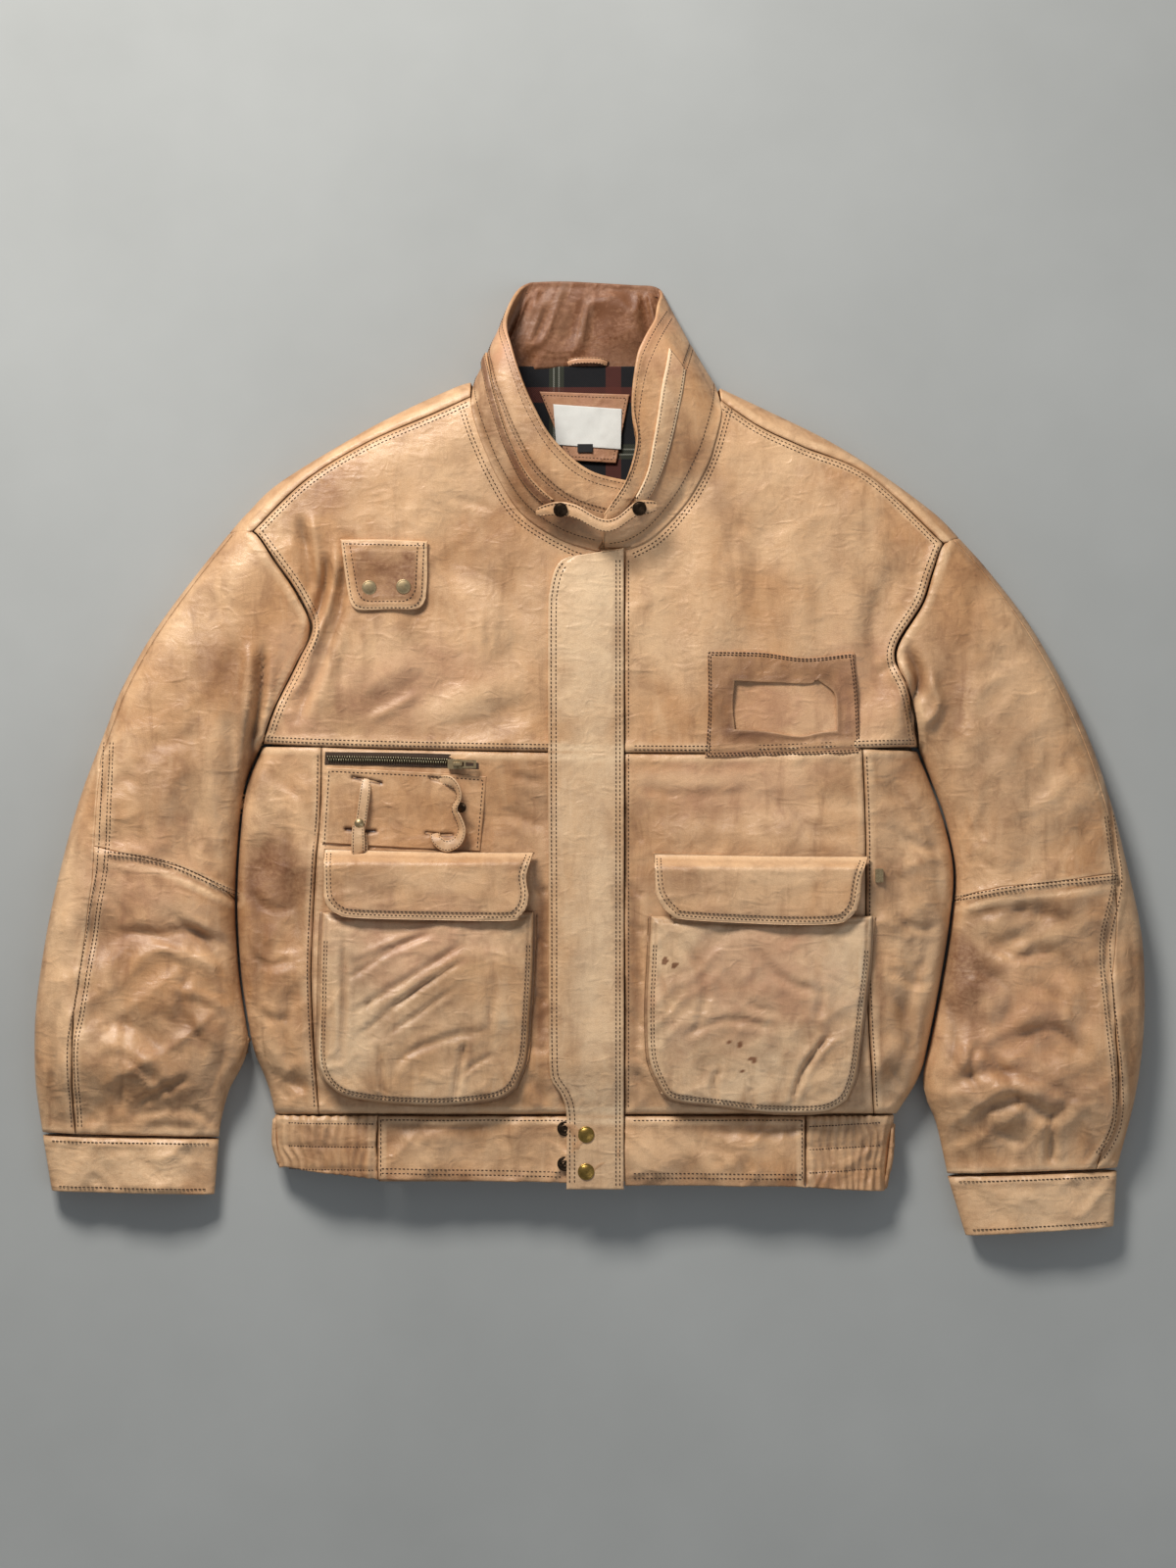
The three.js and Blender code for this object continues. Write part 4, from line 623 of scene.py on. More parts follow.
def shell_arrays(P, thick, face, ring, looks):
    """A closed thin wall inward from a grid of points, with rounded borders."""
    N = normals_of(P, ring)
    weight = N[..., 2] if face in (1, -1) else (N * face(P)).sum(-1)
    if (weight.mean() > 0) != (face != -1):
        N = -N
        P, N = P[:, ::-1], N[:, ::-1]
        looks = None if looks is None else looks[:, ::-1]
    rows, cols = P.shape[:2]
    thick = np.broadcast_to(thick, (rows, cols))
    P = P.copy()
    index = np.arange(rows * cols).reshape(rows, cols)
    if ring:
        borders = [(index[0], index[1]), (index[-1], index[-2])]
    else:
        loop = np.concatenate([index[0, :-1], index[:-1, -1], index[-1, :0:-1], index[:0:-1, 0]])
        inside = np.clip(np.stack(np.unravel_index(loop, (rows, cols)), -1), 1, [rows - 2, cols - 2])
        borders = [(loop, index[inside[:, 0], inside[:, 1]])]
    p, n, t = P.reshape(-1, 3), N.reshape(-1, 3), thick.reshape(-1, 1)
    out = p.copy()
    rings = []
    for loop, inside in borders:
        away = p[loop] - p[inside]
        away = unit(away - (away * n[loop]).sum(-1, keepdims=True) * n[loop])
        edge = p[loop] - away * (t[loop] / 2 + SEAM_GAP)
        out[loop] = edge
        middle = edge - n[loop] * t[loop] / 2
        arc = []
        for k in range(1, RIM_ARCS + 1):
            a = math.pi * k / (RIM_ARCS + 1)
            arc.append(middle + n[loop] * t[loop] / 2 * math.cos(a) + away * t[loop] / 2 * math.sin(a))
        rings.append((loop, arc))
    inner = out - n * t
    points = [out, inner]
    source = [np.arange(rows * cols)] * 2
    count = rows * cols
    wrap = (np.arange(cols) + 1) % cols if ring else np.arange(1, cols)
    base = np.arange(cols) if ring else np.arange(cols - 1)
    a, b = index[:-1][:, base], index[:-1][:, wrap]
    c, d = index[1:][:, wrap], index[1:][:, base]
    top = np.stack([a, b, c, d], -1).reshape(-1, 4)
    faces = [top, top[:, ::-1] + count]
    start = 2 * count
    for which, (loop, arc) in enumerate(rings):
        chain_rows = [loop] + [start + k * len(loop) + np.arange(len(loop)) for k in range(RIM_ARCS)] + [loop
            + count]
        points += arc
        source += [loop] * RIM_ARCS
        start += RIM_ARCS * len(loop)
        for first, second in zip(chain_rows[:-1], chain_rows[1:]):
            quads = np.stack([first, second, np.roll(second, -1), np.roll(first, -1)], -1)
            if ring and which == 1:
                quads = quads[:, ::-1]
            faces.append(quads)
    P_all = np.concatenate(points)
    L_all = None if looks is None else looks.reshape(-1, 4)[np.concatenate(source)]
    return P_all, faces, L_all


def shell(name, P, material, replaces, thick, face, ring, looks):
    """A piece of the jacket as a thin closed wall; looks holds each vertex's look, or is None."""
    if looks is None:
        looks = look(P[..., :2], np.zeros(P.shape[:2]))
    points, faces, looks = shell_arrays(P, thick, face, ring, looks)
    return place(name, raw_mesh(name, points, faces, looks), material, "jacket", replaces)


def lathe(centre, size, tilt, profile, around=44):
    """Points and faces of a shape turned about Z."""
    profile = np.array(profile, float)
    a = np.linspace(0, 2 * math.pi, around, endpoint=False)
    ring = np.stack([profile[:, :1] * np.cos(a), profile[:, :1] * np.sin(a),
                     np.repeat(profile[:, 1:], around, 1)], -1) * size
    ring[..., 2] += tilt[0] * ring[..., 0] + tilt[1] * ring[..., 1]
    i = np.arange(len(profile) * around).reshape(len(profile), around)
    quads = np.stack([i[:-1], np.roll(i[:-1], -1, 1), np.roll(i[1:], -1, 1), i[1:]], -1).reshape(-1, 4)
    return ring.reshape(-1, 3) + np.array(centre), [quads, i[0][::-1][None], i[-1][None]]


def height_normals(surface, xy, reach=1.5):
    sx = (surface(xy + [reach, 0]) - surface(xy - [reach, 0])) / (2 * reach)
    sy = (surface(xy + [0, reach]) - surface(xy - [0, reach])) / (2 * reach)
    return unit(np.stack([-sx, -sy, np.ones(len(xy))], -1))


# One stitch: a short thread that dips into the cloth at both ends.
STITCH = np.array([[-0.5, -0.9], [-0.27, 0.2], [0.27, 0.2], [0.5, -0.9]])
PATCH_PITCH = 3.4  # millimetres from stitch to stitch on flaps and patches
COLLAR_STITCH = dict(pitch=3.4, length=2.5, radius=0.34)
SHIRRING_STITCH = dict(pitch=2.8, length=2.2)
RIBBON_STITCH = dict(pitch=2.6, length=1.9, radius=0.28)
THREADS = []


def sew(points, normals, pitch=3.6, length=2.7, radius=0.4):
    """Stitches along a line of points in space with the cloth's normals."""
    gone = np.concatenate([[0], np.cumsum(np.linalg.norm(np.diff(points, axis=0), axis=1))])
    count = max(2, int(gone[-1] / pitch))
    at = (np.arange(count) + 0.5) * gone[-1] / count
    middle = np.stack([np.interp(at, gone, points[:, k]) for k in range(3)], -1)
    ahead = np.stack([np.interp(at + 0.6, gone, points[:, k]) for k in range(3)], -1)
    behind = np.stack([np.interp(at - 0.6, gone, points[:, k]) for k in range(3)], -1)
    normal = unit(np.stack([np.interp(at, gone, normals[:, k]) for k in range(3)], -1))
    along = unit(ahead - behind)
    across = unit(np.cross(normal, along))
    THREADS.append((middle, along, across, normal, length, radius))


def sew_on(surface, line, offsets=(0,), rounded=True, ends=(0, 1), **how):
    """Rows of stitches on a height surface, at offsets to the left of a plan line."""
    way = route(line, rounded)
    share = np.linspace(ends[0], ends[1], max(8, int(way.length * (ends[1] - ends[0]) / 2.5)))
    xy = way(share)
    side = np.gradient(xy, axis=0)
    side = unit(np.stack([-side[:, 1], side[:, 0]], -1))
    for offset in offsets:
        place_at = xy + side * offset
        sew(np.concatenate([place_at, surface(place_at)[:, None]], -1), height_normals(surface, place_at),
            **how)


def stitch_piece(name, material):
    """Joins the threads sewn so far into one piece."""
    points, faces, total = [], [], 0
    around = 4
    a = np.arange(around) * 2 * math.pi / around
    for middle, along, across, normal, length, radius in THREADS:
        station = STITCH[:, 0] * length
        rise = STITCH[:, 1] * radius * 1.6
        ring = np.array([0.5, 1.1, 1.1, 0.5]) * radius
        count = len(middle)
        axis = (middle[:, None, None] + along[:, None, None] * station[None, :, None, None]
                + normal[:, None, None] * rise[None, :, None, None])
        offset = (across[:, None, None] * np.cos(a)[None, None, :, None]
                  + normal[:, None, None] * np.sin(a)[None, None, :, None])
        p = axis + offset * ring[None, :, None, None]
        points.append(p.reshape(-1, 3))
        i = np.arange(len(station) * around).reshape(len(station), around)
        quads = np.stack([i[:-1], i[1:], np.roll(i[1:], -1, 1), np.roll(i[:-1], -1, 1)], -1).reshape(-1, 4)
        shift = total + np.arange(count)[:, None, None] * len(station) * around
        faces.append((quads[None] + shift).reshape(-1, 4))
        faces.append((i[0][None, None] + shift).reshape(-1, around))
        faces.append((i[-1][None, None, ::-1] + shift).reshape(-1, around))
        total += count * len(station) * around
    THREADS.clear()
    mesh = raw_mesh(name, np.concatenate(points), faces)
    place(name, mesh, material, "jacket")


# ------------------------------------------------------------------ materials
def srgb(r, g, b):
    def channel(c):
        c = c / 255
        return c / 12.92 if c <= 0.04045 else ((c + 0.055) / 1.055) ** 2.4
    return (channel(r), channel(g), channel(b), 1.0)


class Nodes:
    """A short way to wire a material's nodes."""

    def __init__(self, name):
        self.material = bpy.data.materials.new(name)
        self.material.use_nodes = True
        self.tree = self.material.node_tree
        self.shader = self.tree.nodes["Principled BSDF"]
        self.coords = self.tree.nodes.new("ShaderNodeTexCoord").outputs["Object"]

    def wire(self, value, socket):
        if isinstance(value, bpy.types.NodeSocket):
            self.tree.links.new(value, socket)
        else:
            socket.default_value = value

    def node(self, kind, inputs, **settings):
        node = self.tree.nodes.new(kind)
        for key, value in settings.items():
            setattr(node, key, value)
        for key, value in inputs.items():
            self.wire(value, node.inputs[key])
        return node

    def math(self, operation, a, b=0.0, c=0.0, clamp=False):
        node = self.node("ShaderNodeMath", {0: a, 1: b, 2: c}, operation=operation, use_clamp=clamp)
        return node.outputs[0]

    def noise(self, scale, detail=3.0, roughness=0.55, warp=0.0, stretch=None, kind="FBM"):
        vector = self.coords
        if stretch is not None:
            vector = self.node("ShaderNodeMapping", {"Vector": vector, "Scale": stretch[0],
                                                     "Rotation": (0, 0, stretch[1])}).outputs[0]
        node = self.node("ShaderNodeTexNoise", {"Vector": vector, "Scale": scale, "Detail": detail,
                                                "Roughness": roughness, "Distortion": warp}, noise_type=kind)
        return node.outputs["Fac"]

    def spread(self, value, low, high, to_low=0.0, to_high=1.0):
        return self.node("ShaderNodeMapRange", {"Value": value, "From Min": low, "From Max": high,
                                                "To Min": to_low, "To Max": to_high}).outputs[0]

    def mix(self, amount, a, b):
        node = self.tree.nodes.new("ShaderNodeMix")
        node.data_type = "RGBA"
        node.blend_type = "MIX"
        self.wire(amount, node.inputs["Factor"])
        self.wire(a, node.inputs["A"])
        self.wire(b, node.inputs["B"])
        return node.outputs["Result"]

    def bump(self, height, strength, distance, normal=None):
        inputs = {"Height": height, "Strength": strength, "Distance": distance}
        if normal is not None:
            inputs["Normal"] = normal
        return self.node("ShaderNodeBump", inputs).outputs[0]

    def finish(self, **inputs):
        for key, value in inputs.items():
            self.wire(value, self.shader.inputs[key.replace("_", " ")])
        return self.material


def leather(name, base, pale, dark, pink, gloss=0.0, grain=1.0):
    """Leather with pores, wrinkles and streaks, and from the look attribute its stains and painted shade,
    its rubbed wear and painted highlights, and painted shade in its creases.
    """
    m = Nodes(name)
    broad = m.noise(9.0, 4.0, 0.6, 0.6)
    patchy = m.noise(38.0, 5.0, 0.62, 0.8)
    fine = m.noise(260.0, 4.0, 0.6)
    streak = m.noise(60.0, 5.0, 0.62, 0.6, stretch=((1.0, 0.2, 1.0), 0.1))
    colour = m.mix(m.spread(broad, 0.38, 0.70, 0.0, 0.7), base, pale)
    colour = m.mix(m.spread(patchy, 0.44, 0.74, 0.0, 0.5), colour, dark)
    colour = m.mix(m.spread(streak, 0.52, 0.76, 0.0, 0.42), colour, pale)
    colour = m.mix(m.spread(streak, 0.46, 0.28, 0.0, 0.40), colour, dark)
    pore = m.node("ShaderNodeTexVoronoi", {"Vector": m.coords, "Scale": 620.0, "Randomness": 1.0},
                  feature="DISTANCE_TO_EDGE").outputs["Distance"]
    wrinkle = m.noise(95.0, 6.0, 0.62, 1.2, kind="RIDGED_MULTIFRACTAL")
    long_wrinkle = m.noise(42.0, 5.0, 0.6, 0.8, stretch=((1.0, 2.6, 1.0), 0.9), kind="RIDGED_MULTIFRACTAL")
    marks = m.tree.nodes.new("ShaderNodeAttribute")
    marks.attribute_name = "look"
    split = m.node("ShaderNodeSeparateColor", {"Color": marks.outputs["Color"]})
    # the look channels: stains with painted shade, rubbed wear with painted highlights, and a pink tint;
    # alpha is painted crease shade
    stain_and_shade, rub_and_highlight, tint = split.outputs
    crease = marks.outputs["Alpha"]
    ragged = m.spread(fine, 0.3, 0.7, 0.75, 1.2)
    colour = m.mix(m.math("MULTIPLY", tint, m.spread(patchy, 0.3, 0.7, 0.5, 0.95)), colour, pink)
    colour = m.mix(m.math("MULTIPLY", stain_and_shade, ragged, clamp=True), colour, dark)
    colour = m.mix(m.math("MULTIPLY", rub_and_highlight, ragged, clamp=True), colour, pale)
    # painted shade: creases, seams and folds darkened towards a deep brown
    deep = tuple(c * 0.45 for c in dark[:3]) + (1.0,)
    colour = m.mix(m.math("MULTIPLY", crease, 0.62, clamp=True), colour, deep)
    colour = m.mix(m.spread(wrinkle, 0.5, 1.6, 0.0, 0.16), colour, dark)
    colour = m.mix(m.spread(pore, 0.0, 0.09, 0.18, 0.0), colour, dark)
    pebble = m.spread(pore, 0.0, 0.22)
    rough = m.spread(patchy, 0.3, 0.7, 0.33 - gloss, 0.52 - gloss)
    rough = m.math("ADD", rough, m.spread(fine, 0.3, 0.7, -0.04, 0.05))
    rough = m.math("ADD", rough, m.math("MULTIPLY", stain_and_shade, 0.16))
    normal = m.bump(pebble, 0.32 * grain, 0.00022)
    normal = m.bump(m.noise(420.0, 3.0), 0.22 * grain, 0.00025, normal)
    normal = m.bump(wrinkle, 0.5 * grain, 0.0009, normal)
    normal = m.bump(long_wrinkle, 0.42 * grain, 0.0017, normal)
    return m.finish(Base_Color=colour, Roughness=rough, Normal=normal)


def metal(name, colour, tarnish, rough, wear=0.5):
    m = Nodes(name)
    cloud = m.noise(320.0, 4.0, 0.6, 0.4)
    scratch = m.noise(900.0, 3.0, 0.6, stretch=((1.0, 9.0, 1.0), 0.5))
    tone = m.mix(m.spread(cloud, 0.4, 0.66, 0.0, wear), colour, tarnish)
    roughness = m.spread(cloud, 0.3, 0.7, rough - 0.08, rough + 0.16)
    return m.finish(Base_Color=tone, Metallic=1.0, Roughness=roughness, Normal=m.bump(scratch, 0.25, 0.0001))


def cloth(name, colour, shade, threads=1500.0, rough=0.9):
    m = Nodes(name)
    x = m.node("ShaderNodeSeparateXYZ", {"Vector": m.coords})
    warp = m.math("SINE", m.math("MULTIPLY", x.outputs["X"], threads * 2))
    weft = m.math("SINE", m.math("MULTIPLY", x.outputs["Y"], threads * 2))
    weave = m.math("MULTIPLY", warp, weft)
    tone = m.mix(m.spread(weave, -1, 1, 0.0, 0.55), colour, shade)
    tone = m.mix(m.spread(m.noise(160.0, 4.0), 0.4, 0.75, 0.0, 0.35), tone, shade)
    return m.finish(Base_Color=tone, Roughness=rough, Normal=m.bump(weave, 0.5, 0.0002))


def plaid(name):
    """A black twill with a broad olive and a rust band both ways, and thin pale lines in the olive."""
    m = Nodes(name)
    x = m.node("ShaderNodeSeparateXYZ", {"Vector": m.coords})
    colour = srgb(20, 19, 22)
    for axis in (x.outputs["X"], x.outputs["Y"]):
        share = m.math("FRACT", m.math("DIVIDE", m.math("ADD", axis, 2.0354), 0.1))
        for start, width, tone, strength in ((0.0, 0.13, srgb(70, 72, 54), 0.7),
                                             (0.495, 0.135, srgb(112, 52, 38), 0.7),
                                             (0.035, 0.012, srgb(190, 188, 172), 0.5),
                                             (0.08, 0.012, srgb(190, 188, 172), 0.5)):
            inside = m.math("COMPARE", share, start + width / 2, width / 2)
            colour = m.mix(m.math("MULTIPLY", inside, strength), colour, tone)
    slope = m.math("ADD", x.outputs["X"], x.outputs["Y"])
    twill = m.math("SINE", m.math("MULTIPLY", slope, 3400.0))
    colour = m.mix(m.spread(twill, -1, 1, 0.0, 0.75), colour, srgb(12, 12, 15))
    return m.finish(Base_Color=colour, Roughness=0.95, Normal=m.bump(twill, 0.6, 0.0003))


TAN, PALE, DARK, PINK = srgb(198, 148, 102), srgb(236, 196, 152), srgb(116, 70, 38), srgb(208, 152, 118)
LEATHER = leather("leather_tan", TAN, PALE, DARK, PINK)
PALE_LEATHER = leather("leather_rubbed", srgb(206, 162, 118), srgb(242, 210, 170), srgb(128, 84, 52), PINK,
                       gloss=0.03)
DARK_LEATHER = leather("leather_darkened", srgb(168, 118, 76), srgb(214, 168, 124), srgb(96, 56, 32), PINK,
                       grain=1.2)
THREAD = cloth("thread_brown", srgb(66, 42, 26), srgb(40, 25, 16), 3000.0, 0.7)
TAPE = cloth("zip_tape_cloth", srgb(78, 58, 42), srgb(44, 32, 24), 2200.0)
LABEL = cloth("label_cloth", srgb(236, 234, 226), srgb(214, 211, 202), 2600.0, 0.6)
BLACK_CLOTH = cloth("tag_cloth", srgb(30, 28, 28), srgb(16, 15, 15), 2600.0, 0.8)
PLAID = plaid("plaid_twill")
BRASS = metal("brass_bright", srgb(184, 148, 78), srgb(84, 62, 32), 0.28, 0.65)
ANTIQUE = metal("brass_antique", srgb(196, 172, 132), srgb(104, 84, 60), 0.42, 0.6)
BRONZE = metal("bronze_dark", srgb(74, 58, 44), srgb(26, 20, 15), 0.36, 0.8)
TEETH = metal("zip_teeth_brass", srgb(146, 138, 112), srgb(96, 70, 40), 0.32, 0.5)


def cloth_piece(name, P, looks, material, replaces, thick=2.0, face=1, ring=False):
    """A sewn piece, made from its grid of points as a thin closed wall. A cut of laid_cut(P) is measured
    on the piece itself, so the area test can't fail on that one.
    """
    obj = shell(name, P, material, replaces, thick, face, ring, looks)


def even(length, step):
    return np.linspace(0, 1, max(3, int(round(length / step)) + 1))


def top(xy):
    return upper(xy)[0]


def plain(xy):
    """The upper skin without its creases."""
    xy = np.asarray(xy, float)
    return smooth_form(xy.reshape(-1, 2))[0].reshape(xy.shape[:-1])


def panel(name, region, width, length, nodes, lift=None, step=2.75):
    xy = grid(region, even(width, step), even(length, step))
    z, dark = upper(xy)
    if lift is not None:
        z = z + lift(xy)
    cloth_piece(name, lifted(xy, z), look(xy, dark), LEATHER, nodes)


def wrapped(seam, fold, under, rows, columns=26, under_columns=14):
    """Rows on the upper skin from a seam out to the side fold, then in again below."""
    out, over, low = fold(rows), seam(rows), under(rows)
    t_up = np.linspace(1, 0, columns) ** 1.6
    t_low = np.linspace(0, 1, under_columns)[1:] ** 1.5
    up_xy = out[:, None] + (over - out)[:, None] * t_up[None, :, None]
    low_xy = out[:, None] + (low - out)[:, None] * t_low[None, :, None]
    z_up, d_up = upper(up_xy)
    z_low, d_low = lower(low_xy)
    P = np.concatenate([lifted(up_xy, z_up), lifted(low_xy, z_low)], 1)
    return P, look(P[..., :2], np.concatenate([d_up, d_low], 1))


def from_middle(P):
    return P - P.mean(axis=1, keepdims=True)


yoke_seam_l, yoke_seam_r = route(YOKE_SEAM_L), route(YOKE_SEAM_R)
side_seam_l, side_seam_r = route(SIDE_SEAM_L), route(SIDE_SEAM_R)
under_l, under_r = route(UNDER_SEAM_L), route(UNDER_SEAM_R)
arm_l = route([SHOULDER_FOLD_L[-1], *ARMHOLE_L])
arm_r = route([SHOULDER_FOLD_R[-1], *ARMHOLE_R])
neck_l, neck_r = route(NECK_L), route(NECK_R)
tip_l, tip_r = share_near(arm_l, ARMHOLE_L[0]), share_near(arm_r, ARMHOLE_R[0])
side_l, side_r = share_near(yoke_seam_l, SIDE_SEAM_L[-1]), share_near(yoke_seam_r, SIDE_SEAM_R[-1])


def yoke_lift(xy):
    """The yokes are lapped over the fronts at their lower seam."""
    return 1.1 * np.exp(-(np.abs(xy[..., 1] - 10) / 12) ** 2)


panel("yoke_left_panel", coons(yoke_seam_l, part(route(SHOULDER_SEAM_L), 1, 0), part(arm_l, 1, tip_l),
      chain(straight([[FRONT_EDGE, 8], [FRONT_EDGE, 185]]), neck_l, 0.463)), 290, 250, ["yoke_left"],
      yoke_lift)
panel("yoke_right_panel", coons(yoke_seam_r, route(SHOULDER_SEAM_R),
      chain(straight([[PLACKET_SEAM + 1, 8], [PLACKET_SEAM + 1, 186]]), neck_r, 0.527),
      part(arm_r, 1, tip_r)), 255, 250, ["yoke_right"], yoke_lift)
panel("front_left_panel", coons(straight([[-235, HEM_TOP + 1], [FRONT_EDGE, HEM_TOP + 1]]),
      part(yoke_seam_l, side_l, 1), side_seam_l,
      straight([[FRONT_EDGE, HEM_TOP + 1], [FRONT_EDGE, 8]])), 270, 316, ["front_left"])
panel("front_right_panel", coons(straight([[PLACKET_SEAM + 1, HEM_TOP + 1], [248, HEM_TOP + 1]]),
      part(yoke_seam_r, 0, side_r), straight([[PLACKET_SEAM + 1, HEM_TOP + 1], [PLACKET_SEAM + 1, 8]]),
      side_seam_r), 215, 316, ["front_right"])

for side, seam, fold, under in (("left", side_seam_l, part(route(SIDE_FOLD_L), 1, 0), under_l),
                                ("right", side_seam_r, part(route(SIDE_FOLD_R), 1, 0), under_r)):
    P, looks = wrapped(seam, fold, under, even(322, 2.75))
    cloth_piece(f"side_{side}_panel", P, looks, LEATHER, [f"side_{side}"],
                face=from_middle)

back_region = coons(straight([UNDER_SEAM_L[0], UNDER_SEAM_R[0]]), route(BACK_TOP),
                    chain(under_l, part(arm_l, share_near(arm_l, [-280, 26]), tip_l), 0.6),
                    chain(under_r, part(arm_r, share_near(arm_r, [285, 24]), tip_r), 0.6))
xy = grid(back_region, even(560, 8.5), even(645, 8.5))
z, dark = lower(xy)
cloth_piece("back_panel", lifted(xy, z), look(xy, dark), LEATHER, ["back"],
            face=-1)
for side, seam, fold, end in (("left", SHOULDER_SEAM_L, SHOULDER_FOLD_L, ROLL_END_L),
                              ("right", SHOULDER_SEAM_R, SHOULDER_FOLD_R, ROLL_END_R)):
    P, looks = wrapped(route(seam), route(fold), route(end), even(245, 2.5), 14, 12)
    cloth_piece(f"back_roll_{side}", P, looks, LEATHER, ["back"],
                face=from_middle)


# ------------------------------------------------------------------ waistband
def band_lift(xy):
    """A flat band: a little raised between its two seams, puckered by its stitching."""
    share = np.clip((xy[..., 1] - HEM_LOW) / (HEM_TOP - HEM_LOW), 0, 1)
    swell = 1.6 * np.sin(math.pi * share) ** 0.6
    ripple = 0.5 * noise(turned(xy, 90, 2.5), 9, 31) * (0.4 + np.abs(share - 0.5))
    return swell + ripple


def gathers(xy):
    """Elastic shirring: upright pleats between level stitch rows."""
    x, y = xy[..., 0], xy[..., 1]
    phase = x / 7.5 + 0.8 * noise(xy, 22, 33)
    pleat = np.sin(2 * math.pi * phase) * (0.8 + 0.5 * noise(xy, 12, 34))
    rows = sum(np.exp(-((y - row) / 2.2) ** 2) for row in SHIRRING_ROWS)
    return pleat * (1 - 0.3 * rows) - 0.9 * rows


def band(name, from_x, to_x, low, nodes):
    region = coons(straight([[from_x, low[0]], [to_x, low[1]]]),
                   straight([[from_x, HEM_TOP], [to_x, HEM_TOP]]),
                   straight([[from_x, low[0]], [from_x, HEM_TOP]]),
                   straight([[to_x, low[1]], [to_x, HEM_TOP]]))
    panel(name, region, to_x - from_x, 60, nodes, band_lift, 2.2)


band("waistband_left_panel", BAND_SPLIT_L, FRONT_EDGE, (-363, -366), ["waistband_left"])
band("waistband_right_panel", PLACKET_SEAM + 1, BAND_SPLIT_R, (-368, -369), ["waistband_right"])
for side, split, low, fold in (("left", BAND_SPLIT_L, -363, [[-270, -352], [-275, -330], [-274, HEM_TOP]]),
                               ("right", BAND_SPLIT_R, -369, [[258, -374], [264, -340], [266, HEM_TOP]])):
    seam = straight([[split, low], [split, HEM_TOP]])
    P, _ = wrapped(seam, route(fold), seam, even(62, 2.0), 60, 40)
    bulge = gathers(P[..., :2])
    N = normals_of(P)
    if N[:, :5, 2].mean() < 0:
        N = -N
    from_fold = smooth(0, 9, fold_distance(P[..., :2].reshape(-1, 2))).reshape(P.shape[:2])
    bulge = bulge * from_fold
    P = P + N * bulge[..., None] * np.where(P[..., 2:] > 13, 1.0, 0.5)
    P[..., 2] = np.maximum(P[..., 2], 0.05)
    shade = np.clip(-0.28 * bulge + 0.1, 0, 1)
    cloth_piece(f"waistband_side_{side}_panel", P, look(P[..., :2], shade), LEATHER,
                [f"waistband_side_{side}"], face=from_middle)
xy = grid(coons(straight([[BAND_SPLIT_L, HEM_LOW], [BAND_SPLIT_R, HEM_LOW]]),
                straight([[BAND_SPLIT_L, HEM_TOP], [BAND_SPLIT_R, HEM_TOP]]),
                straight([[BAND_SPLIT_L, HEM_LOW], [BAND_SPLIT_L, HEM_TOP]]),
                straight([[BAND_SPLIT_R, HEM_LOW], [BAND_SPLIT_R, HEM_TOP]])), even(372, 6), even(60, 6))
z, dark = lower(xy)
cloth_piece("waistband_back_panel", lifted(xy, z), look(xy, dark), LEATHER, ["waistband_back"],
            face=-1)

